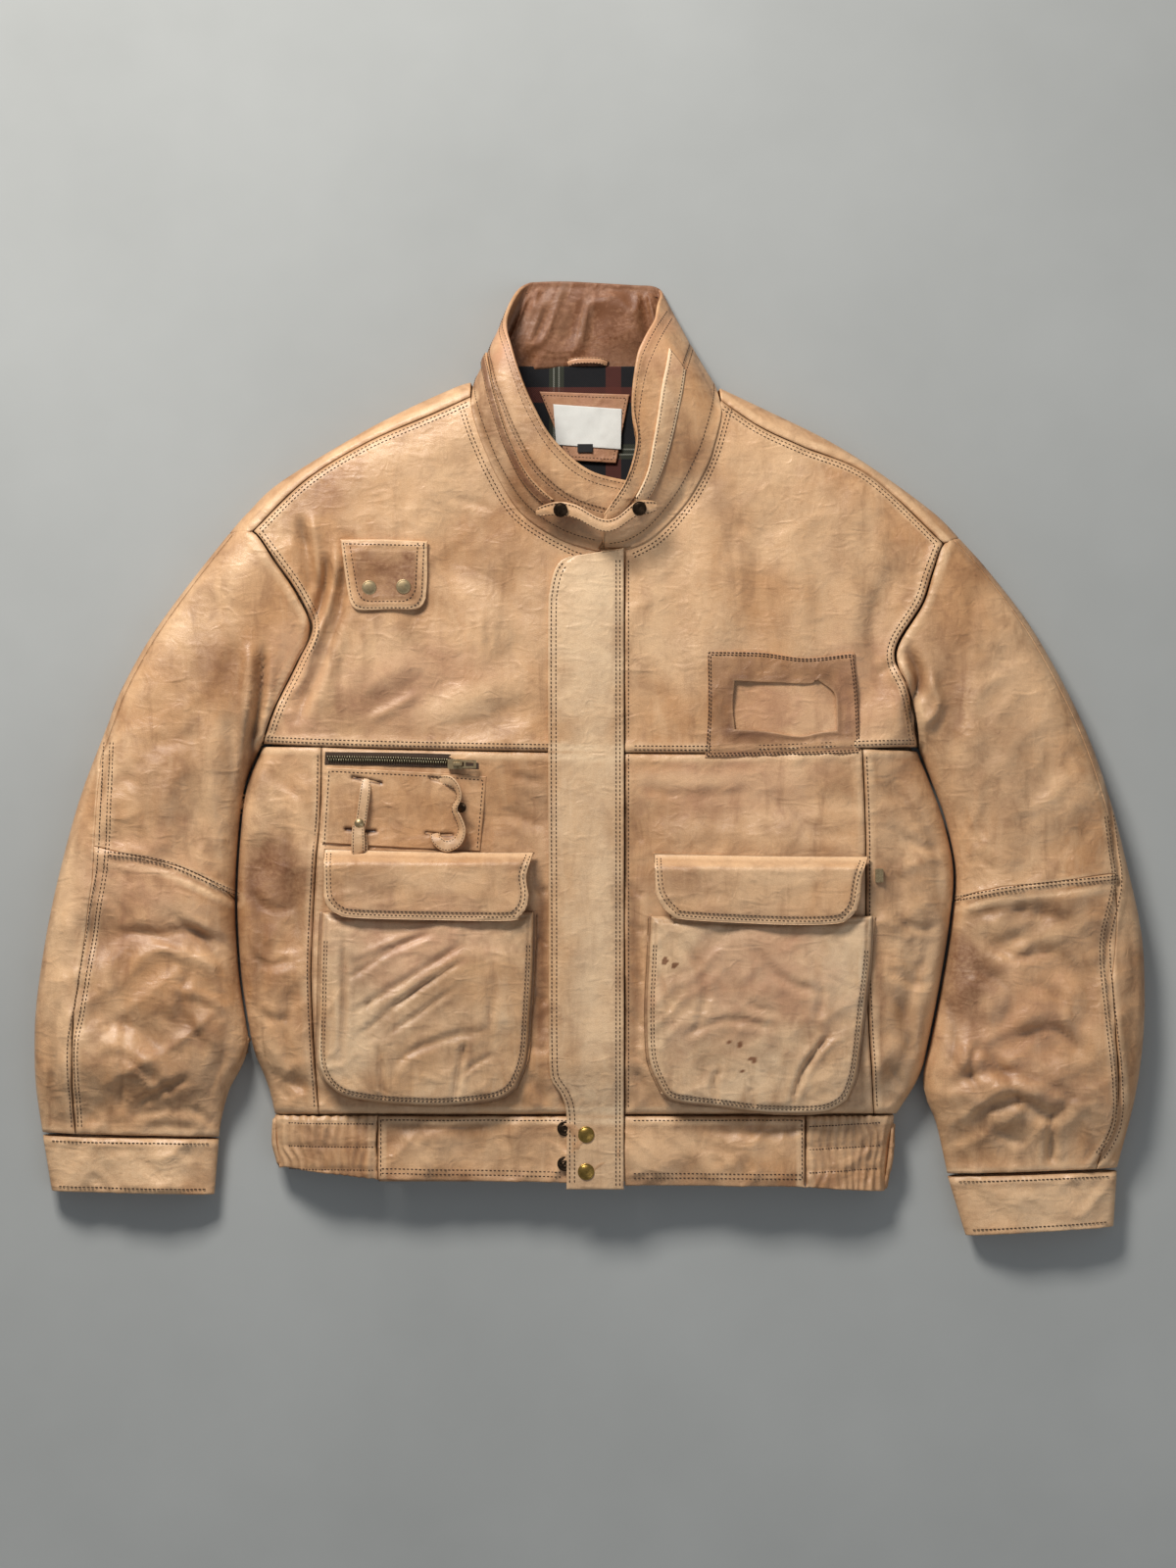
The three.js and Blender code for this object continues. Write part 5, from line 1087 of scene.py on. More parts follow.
# ------------------------------------------------------------------ sleeves
SLEEVES = {
    "left": (arm_l, SLEEVE_OUTER_L, SLEEVE_INNER_L, CUFF_L, (0.546, 0.39),
             ([0, 0.4, 0.5, 0.6, 0.7, 0.8, 0.9, 1], [0.03, 0.03, 0.085, 0.14, 0.16, 0.17, 0.195, 0.195])),
    "right": (arm_r, SLEEVE_OUTER_R, SLEEVE_INNER_R, CUFF_R, (0.556, 0.36),
              ([0, 0.5, 0.6, 0.7, 0.8, 0.9, 1], [0.03, 0.03, 0.08, 0.14, 0.125, 0.085, 0.13]))}
UNDER_U = 0.9
for side, (arm, outer, inner, cuff, elbow, back_seam) in SLEEVES.items():
    plan = coons(arm, straight([cuff[0][0], cuff[1][0]]), route(outer), route(inner))

    def share_at(half, row, across):
        middle = elbow[0] + (elbow[1] - elbow[0]) * across + 0.02 * np.sin(math.pi * across)
        return row * middle if half == 0 else middle + (1 - middle) * row

    def seam_u(half, row):
        return np.interp(share_at(half, row, 0.0), *back_seam)

    def over_and_under(half, rows, across, under_u):
        """The top panel of one half: across the top, round the inner fold, and a little way in below."""
        w = 1 - (1 - across) ** 1.5
        u_seam = seam_u(half, rows)[:, None]
        share = share_at(half, rows[:, None], w[None])
        xy = plan(u_seam + (1 - u_seam) * w[None], share)
        z, dark = upper(xy)
        low_share = share_at(half, rows[:, None], under_u[None])
        low_xy = plan(np.broadcast_to(under_u[None], low_share.shape), low_share)
        z_low, dark_low = lower(low_xy)
        P = np.concatenate([lifted(xy, z), lifted(low_xy, z_low)], 1)
        return P, look(P[..., :2], np.concatenate([dark, dark_low], 1))

    in_under = 1 - (1 - UNDER_U) * np.linspace(0, 1, 10)[1:] ** 1.4
    for half, word, long in ((0, "upper", 215), (1, "lower", 205)):
        P, looks = over_and_under(half, even(long, 2.75), np.linspace(0, 1, 67), in_under)
        cloth_piece(f"sleeve_{word}_{side}_panel", P, looks, LEATHER, [f"sleeve_{word}_{side}"],
                    face=from_middle)

    strips = []
    for half in (0, 1):
        rows = even(205, 3.3)[(1 if half else 0):]
        low_u = UNDER_U * (1 - np.linspace(0, 1, 26) ** 0.8)
        low_share = share_at(half, rows[:, None], low_u[None])
        low_xy = plan(np.broadcast_to(low_u[None], low_share.shape), low_share)
        t = np.linspace(0, 1, 20)[1:] ** 1.6
        up_xy = plan(seam_u(half, rows)[:, None] * t[None],
                     np.broadcast_to(share_at(half, rows, 0.0)[:, None], (len(rows), len(t))))
        z_low, dark_low = lower(low_xy)
        z_up, dark_up = upper(up_xy)
        strips.append((np.concatenate([lifted(low_xy, z_low), lifted(up_xy, z_up)], 1),
                       np.concatenate([dark_low, dark_up], 1)))
    P, dark = (np.concatenate(arrays) for arrays in zip(*strips))
    cloth_piece(f"sleeve_under_{side}_panel", P, look(P[..., :2], dark), LEATHER,
                [f"sleeve_under_{side}"], face=from_middle)

    rows = even(50, 2.0)[:, None]
    a = np.array(cuff[0][0]) + (np.array(cuff[0][1]) - cuff[0][0]) * rows
    b = np.array(cuff[1][0]) + (np.array(cuff[1][1]) - cuff[1][0]) * rows
    across = (1 - np.cos(np.linspace(0, math.pi, 66))) / 2
    up_xy = a[:, None] + (b - a)[:, None] * across[None, :, None]
    low_xy = up_xy[:, -2:0:-1][:, ::2]
    z_up, dark_up = upper(up_xy)
    z_low, dark_low = lower(low_xy)
    z_up = z_up + 1.2 * np.sin(math.pi * rows) ** 0.5 * np.sin(math.pi * across)[None]
    P = np.concatenate([lifted(up_xy, z_up), lifted(low_xy, z_low)], 1)
    cloth_piece(f"cuff_{side}_panel", P, look(P[..., :2], np.concatenate([dark_up, dark_low], 1)), LEATHER,
                [f"cuff_{side}"], face=from_middle, ring=True)

# ------------------------------------------------------------------ placket
PLACKET_EDGE = [[-20, -371], [-20, -340], [-20, -306], [-24, -290], [-33, -276], [-35, -264], [-35.2, -252],
                [-35.5, -225], [-35.5, -140],
                [-36, 0], [-36, 125], [-34.5, 150], [-31, 165], [-26, 174], [-19, 178]]


def placket_top(xy):
    x, y = xy[..., 0], xy[..., 1]
    inward = np.minimum(x - np.interp(y, [p[1] for p in PLACKET_EDGE], [p[0] for p in PLACKET_EDGE]),
                        PLACKET_SEAM + 1 - x)
    swell = 1.2 * np.sqrt(np.clip(inward / 12, 0, 1))
    groove = -0.7 * np.exp(-((inward - 5.5) / 1.6) ** 2)
    ripple = 0.9 * noise(turned(xy, 90, 2.2), 34, 41) + 0.3 * noise(xy, 13, 42)
    return plain(xy) + 0.8 * noise(xy, 95, 1) + 3.6 + swell + groove + ripple


rows = even(550, 2.5)
left = route(PLACKET_EDGE)(rows)
right = np.stack([np.full(len(rows), PLACKET_SEAM + 0.6), left[:, 1] + 8 * smooth(120, 178, left[:, 1])], -1)
xy = left[:, None] + (right - left)[:, None] * np.linspace(0, 1, 30)[None, :, None]
cloth_piece("placket_strip", lifted(xy, placket_top(xy)), look(xy, np.zeros(xy.shape[:2])), PALE_LEATHER,
            ["placket"], thick=2.4)

# ------------------------------------------------------------------ collar
def on_body(x, y):
    return [x, y, float(plain(np.array([[x, y]], float))[0]) + 4]


RIBS = [
    (on_body(12, 187), [46, 242, 55]), (on_body(-24, 198), [2, 252, 59]),
    (on_body(-57, 221), [-30, 279, 61]),
    (on_body(-77, 252), [-48, 309, 59]), (on_body(-91, 284), [-60, 338, 55]),
    (on_body(-99, 309), [-68, 364, 46]),
    ([-101, 323, 27], [-74, 386, 30]), ([-99, 334, 13], [-67, 405, 13]), ([-90, 339, 3], [-58, 413, 3]),
    ([-80, 341, 0], [-47, 414.5, 0]), ([-50, 342, 0], [-22, 415, 0]), ([0, 345, 0], [8, 414, 0]),
    ([54, 342, 0], [42, 412, 0]), ([90, 338, 0], [58, 411, 0]), ([100, 336, 3], [66, 408, 3]),
    ([110, 330, 13], [67, 401, 13]), ([112, 320, 27], [62, 392, 28]), (on_body(110, 305), [55, 381, 41]),
    (on_body(104, 282), [47, 366, 50]), (on_body(97, 262), [41, 349, 56]), (on_body(80, 231), [37, 312, 61]),
    (on_body(56, 203), [42, 281, 64]), (on_body(35, 190), [33, 246, 65]), (on_body(12, 188), [13, 215, 64])]
FEET = np.array([foot for foot, _ in RIBS])
EDGES = np.array([edge for _, edge in RIBS])


def collar_point(rib, up):
    rib, up = np.broadcast_arrays(np.asarray(rib, float), np.asarray(up, float))
    p = spline(FEET, rib) * (1 - up[..., None]) + spline(EDGES, rib) * up[..., None]
    standing = smooth(14, 45, p[..., 2])
    p[..., 2] = np.maximum(p[..., 2], 0) + 5 * np.sin(math.pi * np.clip(up, 0, 1)) * standing
    foot = smooth(0.10, -0.06, up) * standing
    p[..., 2] = p[..., 2] * (1 - foot) + (top(p[..., :2]) + 1.5) * foot
    return p


COLLAR_SKIRT = 0.09


def collar_out(P):
    return P - np.array([0.0, 290.0, 42.0])


def collar_surface(rib, up):
    """The collar's outer face with its channels and creases."""
    p = collar_point(rib, up)
    rib, up = np.broadcast_arrays(np.asarray(rib, float), np.asarray(up, float))
    n = unit(collar_out(p))
    channel = sum(np.exp(-((up - at) / 0.022) ** 2) for at in (0.50, 0.90))
    wave = 0.9 * noise(np.stack([rib * 9, up * 40], -1), 16,
                       51) + 0.7 * noise(np.stack([rib * 9, up * 40], -1), 7, 52)
    standing = smooth(3, 20, p[..., 2])
    lift = (wave - 1.1 * channel) * standing * np.sin(math.pi * np.clip(up, 0.02, 0.98)) ** 0.4
    return p + n * lift[..., None], channel


rib = np.linspace(0, len(RIBS) - 1, 300)[None]
up = np.linspace(0, 1, 38)[:, None] * (1 + COLLAR_SKIRT) - COLLAR_SKIRT * smooth(13, 40,
    spline(FEET, rib)[..., 2])
P, channel = collar_surface(rib, up)
back = smooth(6.5, 8.5, rib) * smooth(15.5, 13.5, rib)
gather_xy = np.stack(np.broadcast_arrays(rib * 9.0, up * 26.0), -1)
gather = 1.3 * ridged(turned(gather_xy, 90, 4.0), 3.6, 53) + 0.7 * noise(turned(gather_xy, 90, 2.5), 8, 54)
thickness = 3.2 + back * np.sin(math.pi * np.clip(up, 0, 1)) ** 0.5 * (2.8 + 3.2 * gather)
# painted shade in the collar's channels and in the hollows between the back's gathers
dark = 0.45 * channel * (1 - back) + back * np.clip(0.25 - 0.55 * gather, 0, 0.9)
looks = look(P[..., :2], dark)
looks[..., 2] = np.maximum(looks[..., 2], back)
looks[..., 0] = np.maximum(looks[..., 0], back * (0.8 + 0.2 * gather))
looks[..., 0] = np.maximum(looks[..., 0], 0.5 * smooth(7.5, 6.0, rib) * smooth(0.75, 0.4, up))
cloth_piece("collar_stand", P, looks, LEATHER, ["collar"], thick=thickness,
            face=collar_out)

for side, stations, half, stuff, slot in (
        ("left", [(1.45, 0.34), (2, 0.35), (3, 0.38), (4, 0.42), (5, 0.44), (5.9, 0.45)], 0.080,
         DARK_LEATHER, "leather_dark"),
        ("right", [(17.3, 0.62), (18, 0.58), (19, 0.55), (20, 0.51), (21, 0.5), (21.7, 0.5)], 0.125,
         PALE_LEATHER,
         "leather_pale")):
    t = np.linspace(0, len(stations) - 1, 90)
    path = spline(np.array(stations), t)
    across = np.linspace(-1, 1, 11)
    p = collar_point(path[None, :, 0], path[None, :, 1] + half * across[:, None])
    n = unit(collar_out(p))
    rise = (3.7 + 0.7 * np.sqrt(1 - across**2)[:, None]
            - 0.5 * np.exp(-((np.abs(across) - 0.72) / 0.12) ** 2)[:, None])
    looks = look(p[..., :2], np.zeros(p.shape[:2]))
    rim = np.abs(across)[:, None] + 0 * p[..., 0]
    looks[..., 0] = np.maximum(looks[..., 0], (0.75 if side == "left" else 0.15) * smooth(0.62, 0.4, rim))
    looks[..., 1] = np.maximum(looks[..., 1], 0.7 * smooth(0.66, 0.85, rim))
    cloth_piece(f"collar_strap_{side}_leather", p + n * (rise + 0.3 * np.sin(t / 2.1))[..., None], looks,
                stuff,
                [f"collar_strap_{side}"], thick=2.6, face=collar_out)
    for edge in (-0.72, 0.72):
        line = collar_point(path[:, 0], path[:, 1] + half * edge)
        normal = unit(collar_out(line))
        sew(line + normal * 4.1, normal, pitch=3.0, length=2.2, radius=0.38)

TAB = np.array([[-46, 216, 60, 5], [-41, 217, 61, 9.5], [-27, 219, 61.5, 13], [-11, 216, 63.5, 13],
                [9, 205, 69, 12], [23, 205.5, 70, 12],
                [40, 217.5, 70.5, 14], [53, 220, 68, 12], [59, 221, 66, 6]])
t = np.linspace(0, len(TAB) - 1, 90)
line = spline(TAB, t)
across = np.linspace(-0.5, 0.5, 12)[:, None]
tab = np.stack([np.broadcast_to(line[:, 0], (12, 90)), line[:, 1] + line[:, 3] * across,
                line[:, 2] + 1.4 * np.cos(math.pi * across) - 1.0
                + 1.1 * np.exp(-((across - 0.40) / 0.1) ** 2) + 0.8 * np.sin(t * 2.1)[None] * across], -1)
cloth_piece("throat_tab_leather", tab, None, LEATHER, ["throat_tab"], thick=1.8)
tab_normal = np.tile(UP, (90, 1))
for edge in (0.12, 0.88):
    row = tab[int(edge * 11)] + [0, 0, 0.1]
    sew(row[4:-4], tab_normal[4:-4], pitch=3.0, length=2.2, radius=0.32)

# double rows along the collar's edge and its middle channel, and one row at the neck seam
for first, last in ((0.3, 7.6), (15.4, 22.7)):
    for level in (0.855, 0.945, 0.47, 0.53, 0.06):
        share = np.linspace(first, last, 160)
        p = collar_surface(share, np.full(160, level))[0]
        sew(p + unit(collar_out(p)) * 0.1, unit(collar_out(p)), **COLLAR_STITCH)
p = collar_point(np.linspace(8.4, 13.8, 120), np.full(120, 0.95)) + [0, 0, 3.6]
sew(p, np.tile(UP, (120, 1)), **COLLAR_STITCH)


# ------------------------------------------------------------------ inside the neck
def flat_region(corners, step=2.0):
    """A four-sided region of the plan as a grid of points."""
    c = np.array(corners, float)
    region = coons(straight([c[0], c[1]]), straight([c[3], c[2]]), straight([c[0], c[3]]),
                   straight([c[1], c[2]]))
    wide = max(np.linalg.norm(c[1] - c[0]), np.linalg.norm(c[2] - c[3]))
    tall = max(np.linalg.norm(c[3] - c[0]), np.linalg.norm(c[2] - c[1]))
    return grid(region, even(wide, step), even(tall, step))


xy = flat_region([[-62, 205], [64, 205], [64, 347], [-62, 347]])
z = 4.6 + 0.5 * noise(xy, 18, 61)
cloth_piece("lining_back_cloth", lifted(xy, z), None, PLAID, ["lining_back"],
            thick=1.0)
xy = flat_region([[-18.7, 264.3], [23.8, 261.8], [35.7, 322.1], [-43.4, 324.7]])
patch_z = lambda at: 7.2 + 0.5 * noise(at, 22, 62)
looks = look(xy, np.zeros(xy.shape[:2]))
looks[..., 0], looks[..., 2] = np.maximum(looks[..., 0], 0.42), 1.0
cloth_piece("label_patch_leather", lifted(xy, patch_z(xy)), looks, LEATHER, ["label_patch"],
            thick=1.3)
for edge in ([[-40.8, 321.3], [-16.1, 267.8]], [[-16.1, 267.8], [21.2, 265.2]],
             [[21.2, 265.2], [32.3, 318.8]], [[32.3, 318.8], [-40.8, 321.3]]):
    sew_on(patch_z, edge, pitch=3.0, length=2.2, radius=0.3)
xy = flat_region([[-28.9, 277.9], [28.1, 273.7], [28.9, 309.4], [-31.4, 313.6]], 1.5)
cloth_piece("label_cloth", lifted(xy, patch_z(xy) + 0.9 + 0.15 * noise(xy, 6, 63)), None, LABEL,
            ["label"],
            thick=0.5)
xy = flat_region([[-10.2, 271.1], [3.4, 271.1], [3.4, 278.8], [-10.2, 278.8]], 1.0)
cloth_piece("size_tag_cloth", lifted(xy, patch_z(xy) + 1.5), None, BLACK_CLOTH, ["size_tag"],
            thick=0.4)


RIBBON_STEPS = 60
RIBBON_CROWN = 0.5  # how far a ribbon's middle stands above its edges, in millimetres
RIBBON_ROWS = (-0.34, 0.34)  # its rows of stitches, as shares of its width


def ribbon(name, path, width, material, replaces, roll=0.0):
    """A strip of leather along a path in space; roll turns it about its length, in degrees at each point."""
    t = np.linspace(0, len(path) - 1, RIBBON_STEPS)
    line = spline(np.array(path, float), t)
    roll = np.radians(np.interp(t, np.arange(len(path)), np.broadcast_to(roll, len(path))))
    width = np.interp(t, np.arange(len(path)), np.broadcast_to(width, len(path)))
    along = unit(np.gradient(line, axis=0))
    flat = unit(np.cross(UP, along))
    lifted_way = np.cross(along, flat)
    side = flat * np.cos(roll)[:, None] + lifted_way * np.sin(roll)[:, None]
    normal = np.cross(along, side)
    across = np.linspace(-0.5, 0.5, 9)[:, None, None]
    grid_points = line[None] + side[None] * across * width[None, :, None] \
        + normal[None] * RIBBON_CROWN * np.cos(math.pi * across)
    cloth_piece(name, grid_points, None, material, replaces, thick=1.6,
                face=lambda Q: np.broadcast_to(normal[None], Q.shape))
    for edge in RIBBON_ROWS:
        sew(line + side * edge * width[:, None] + normal * (RIBBON_CROWN * 0.5 + 0.1), normal,
            **RIBBON_STITCH)


at = [[-18.7, 349.3], [-0.8, 351.9], [16.1, 349.3]]
ribbon("hanger_loop_leather", [[*at[0], 5], [at[0][0] + 6, at[0][1] + 2, 7.5], [*at[1], 8.2],
                               [at[2][0] - 6, at[2][1] + 2, 7.5], [*at[2], 5]], 6.5, LEATHER,
                               ["hanger_loop"])

# ------------------------------------------------------------------ pieces that lie on the body
def over_body(lift):
    return lambda xy: 0.5 * top(xy) + 0.5 * plain(xy) + lift


def region_of(low, high, left, right, columns, rows, dense=0.0):
    """A grid over a region of four rounded sides; dense draws the points towards the edges."""
    def spread(count):
        w = np.linspace(0, 1, count)
        return w - dense * np.sin(2 * math.pi * w) / (2 * math.pi)
    lines = [route(line) if len(line) > 2 else straight(line) for line in (low, high, left, right)]
    return grid(coons(*lines), spread(columns), spread(rows))


def edge_gap(xy, sides):
    gap = np.full(xy.reshape(-1, 2).shape[0], 1e9)
    for side in sides:
        line = route(side)(np.linspace(0, 1, 40)) if len(side) > 2 else np.array(side, float)
        gap = np.minimum(gap, line_gap(xy.reshape(-1, 2), line)[0])
    return gap.reshape(xy.shape[:-1])


# chest flap
FLAP_SIDES = ([[-208.2, 140.2], [-204, 133.4], [-196.3, 130.9], [-170.8, 131.8], [-152.2, 131.8],
               [-144.5, 135.2], [-141.1, 142.8]], [[-215.9, 193.8], [-177.7, 193.8], [-139.4, 192.1]],
              [[-208.2, 140.2], [-211.7, 159.8], [-215.9, 193.8]],
              [[-141.1, 142.8], [-139.4, 161.5], [-139.4, 192.1]])
flap_base = over_body(2.6)


def chest_flap_top(xy):
    gap = edge_gap(xy, FLAP_SIDES)
    groove = 0.5 * np.exp(-((gap - 3.0) / 1.2) ** 2) + 0.6 * np.exp(-((gap - 8.4) / 1.4) ** 2)
    return flap_base(xy) + 1.5 * np.sqrt(np.clip(gap / 7, 0, 1)) - groove + 0.9 * noise(xy, 22, 71)


xy = region_of(*FLAP_SIDES, 44, 38)
looks, flap_gap = look(xy, np.zeros(xy.shape[:2])), edge_gap(xy, FLAP_SIDES)
looks[..., 0] = np.maximum(looks[..., 0], (0.62 + 0.25 * noise(xy, 12, 75)) * smooth(5, 13, flap_gap))
looks[..., 1] = np.maximum(looks[..., 1], 0.65 * smooth(6.5, 1.5, flap_gap))
cloth_piece("chest_flap_leather", lifted(xy, chest_flap_top(xy)), looks, LEATHER, ["chest_flap"],
            thick=2.6)
for inset in (3.0, 8.4):
    x0, x1, y0, y1 = -216 + inset, -140 - inset, 131 + inset, 194 - 3
    corners = [[x0, y1], [x0 + 7, y0 + 9], [x0 + 11, y0 + 2], [x0 + 18, y0], [x1 - 13, y0], [x1 - 6, y0 + 3],
               [x1 - 2, y0 + 10], [x1, y1]]
    sew_on(chest_flap_top, corners, rounded=False, pitch=PATCH_PITCH)
sew_on(chest_flap_top, [[-211.7, 189.5], [-141.9, 187.8]], pitch=PATCH_PITCH)

# window patch: a frame round an opening
OUTER = [[[100.3, 4.2], [169.2, 6], [235.4, 7.6]], [[235.4, 7.6], [233.8, 49.3], [230.3, 95.2]],
         [[230.3, 95.2], [187.8, 91], [148.8, 96], [102, 96.9]],
         [[102, 96.9], [102.8, 49.3], [100.3, 4.2]]]
INNER = [[[126.6, 28.9], [155.5, 27.2], [181.9, 22.9], [198.9, 26.3], [214.2, 28.1]],
         [[214.2, 28.1], [214.2, 45], [212.5, 59.5], [203.2, 68]],
         [[203.2, 68], [196.3, 71.4], [191.2, 68], [160.7, 68.8], [126.6, 70.5]],
         [[126.6, 70.5], [125, 49.3], [126.6, 28.9]]]
share = np.linspace(0, 1, 61)[:-1]
outer = np.concatenate([route(side)(share) for side in OUTER])
inner = np.concatenate([route(side)(share) for side in INNER])
t = np.linspace(0, 1, 12)[:, None, None]
xy = inner[None] + (outer - inner)[None] * t
window_base = over_body(1.5)


def window_top(at):
    return window_base(at) + 0.8 * noise(at, 17, 72) + 0.5 * noise(at, 8, 73)


z = window_top(xy) + 0.9 * np.sin(math.pi * t[..., 0]) + 1.3 * smooth(0.3, 0.0, t[..., 0])
# painted shade in a ring just outside the raised inner lip; the frame is also made darker towards the
# opening
looks = look(xy, np.zeros(xy.shape[:2]) + 0.35 * np.exp(-((t[..., 0] - 0.14) / 0.06) ** 2))
looks[..., 0] = np.maximum(looks[..., 0], 0.5 + 0.3 * noise(xy, 15, 76) - 0.4 * t[..., 0])
looks[..., 1] = np.maximum(looks[..., 1], 0.55 * np.exp(-((t[..., 0] - 0.03) / 0.05) ** 2))
cloth_piece("window_patch_leather", lifted(xy, z), looks, DARK_LEATHER, ["window_patch"],
            thick=1.8, ring=True, face=lambda Q: np.broadcast_to(UP, Q.shape))
closed_outer, closed_inner = np.vstack([outer, outer[:1]]), np.vstack([inner, inner[:1]])
for mix_share in (0.12, 0.86, 0.94):
    line = closed_inner + (closed_outer - closed_inner) * mix_share
    sew_on(lambda at: window_top(at) + 0.55, line, rounded=False, pitch=PATCH_PITCH)

# utility patch with its slits
PATCH_SIDES = ([[-232, -69.7], [-162.3, -74], [-94.3, -77.3]],
               [[-227.8, -4.2], [-136.8, -8.5], [-88.4, -11.9]], [[-232, -69.7], [-227.8, -4.2]],
               [[-94.3, -77.3], [-88.4, -11.9]])
SLITS = [[[-204.8, -12.8], [-192.1, -15.3], [-180.2, -17.8]],
         [[-210.8, -57.8], [-198, -59.5], [-185.3, -59.5]], [[-136.8, -13.6], [-120.7, -17]],
         [[-141.1, -61.2], [-130, -62.9], [-119, -62.9]]]
utility_base = over_body(1.7)


def utility_top(at):
    flat = at.reshape(-1, 2)
    dip = np.zeros(len(flat))
    for slit in SLITS:
        dip += np.exp(-(line_gap(flat, np.array(slit))[0] / 1.7) ** 2)
    return utility_base(at) + 0.8 * noise(at, 24, 74) - 2.4 * dip.reshape(at.shape[:-1])


xy = region_of(*PATCH_SIDES, 98, 54)
# painted shadow in the slits
slit_shade = sum(np.exp(-(line_gap(xy.reshape(-1, 2), np.array(slit))[0] / 1.5) ** 2) for slit in SLITS)
cloth_piece("utility_patch_leather", lifted(xy, utility_top(xy)),
            look(xy, 2.2 * slit_shade.reshape(xy.shape[:-1])),
            LEATHER, ["utility_patch"], thick=1.5)
sew_on(utility_top, [[-229.5, -71.4], [-225.2, -7.6], [-136.8, -11.9], [-91.8, -15.3], [-96.9, -74.8]],
       rounded=False)

# strap loops
on_patch = float(plain(np.array([[-198.0, -40.0]]))[0]) + 2.6


def up_by(points, rises):
    return [[x, y, on_patch + rise] for (x, y), rise in zip(points, rises)]


ribbon("strap_loop_1_leather",
       up_by([[-192.9, -13.6], [-193.8, -23.8], [-195.5, -37.4], [-197.2, -49.3], [-198.9, -59.5]],
             (-2.6, 2.6, 3.8, 3.6, 2.4)),
       (8, 10, 10, 10, 10), PALE_LEATHER, ["strap_loop_1"])
ribbon("strap_loop_1_end",
       up_by([[-199.8, -54.4], [-199.8, -62.9], [-199.8, -71.4], [-199.8, -78.2], [-198, -79.9],
              [-196.3, -73.1], [-197.2, -61.2]],
       (5.4, 6.4, 6.6, 5.2, 3.4, 2.4, 1.6)), (10.5, 12, 12.5, 12, 11.5, 10, 9), PALE_LEATHER,
       ["strap_loop_1"])
ribbon("strap_loop_2_upper",
       up_by([[-130, -16.1], [-121.5, -16.1], [-114.8, -22.1], [-113, -30.6], [-116.5, -39.1],
              [-114.8, -45.9]],
       (-2.4, 3.4, 5.0, 5.4, 4.6, 3.0)), (9, 10, 9, 8, 8, 7), PALE_LEATHER, ["strap_loop_2"],
       roll=(0, 18, 52, 60, 50, 40))
ribbon("strap_loop_2_lower",
       up_by([[-117.3, -40.8], [-113, -49.3], [-110.5, -59.5], [-114.8, -68.8], [-124.1, -72.2],
              [-131.8, -67.1], [-133.4, -61.2]],
       (3.0, 4.6, 5.4, 5.4, 4.4, 2.6, -2.4)), (7, 9, 10, 10.5, 11, 10, 9), PALE_LEATHER,
       ["strap_loop_2"], roll=(40, 50, 45, 25, 8, 0, 0))

# ------------------------------------------------------------------ chest zip
tape_top = over_body(0.9)
xy = region_of([[-229.5, -1.7], [-162.3, -3.4], [-95.2, -6]], [[-228.7, 9.3], [-162.3, 8.5], [-95.2, 6.8]],
               [[-229.5, -1.7], [-228.7, 9.3]],
               [[-95.2, -6], [-95.2, 6.8]], 90, 12)
cloth_piece("chest_zip_tape", lifted(xy, tape_top(xy)), None, TAPE, ["chest_zip"],
            thick=0.9)
zip_line = route([[-226.9, 3.4], [-170.8, 2.5], [-121.5, 0.8]])


def box_points(centre, along, across, normal, size):
    corners = np.array([[i, j, k] for k in (-1, 1) for j in (-1, 1) for i in (-1, 1)], float)
    corners[4:, :2] *= 0.78
    frame_axes = np.stack([along, across, normal])
    return centre + (corners * np.array(size) / 2) @ frame_axes


BOX_FACES = np.array([[0, 2, 3, 1], [4, 5, 7, 6], [0, 1, 5, 4], [2, 6, 7, 3], [0, 4, 6, 2], [1, 3, 7, 5]])
points, faces = [], []
count = 50
for row, shift in ((1, 0.0), (-1, 0.5)):
    for k in range(count):
        share = (k + shift + 0.25) / count
        here = zip_line(np.array([share]))[0]
        ahead = zip_line(np.array([min(1, share + 0.01)]))[0]
        way = unit(np.array([*(ahead - here), 0.0]))
        side = np.array([-way[1], way[0], 0.0])
        z = float(tape_top(here[None])[0]) + 0.9
        points.append(box_points(np.array([*here, z]) + side * row * 1.25, way, side, np.array([0, 0, 1.0]),
                                 (1.2, 2.9, 1.6)))
        faces.append(BOX_FACES + 8 * (len(points) - 1))
place("chest_zip_teeth", raw_mesh("chest_zip_teeth", np.concatenate(points), faces), TEETH, "jacket")

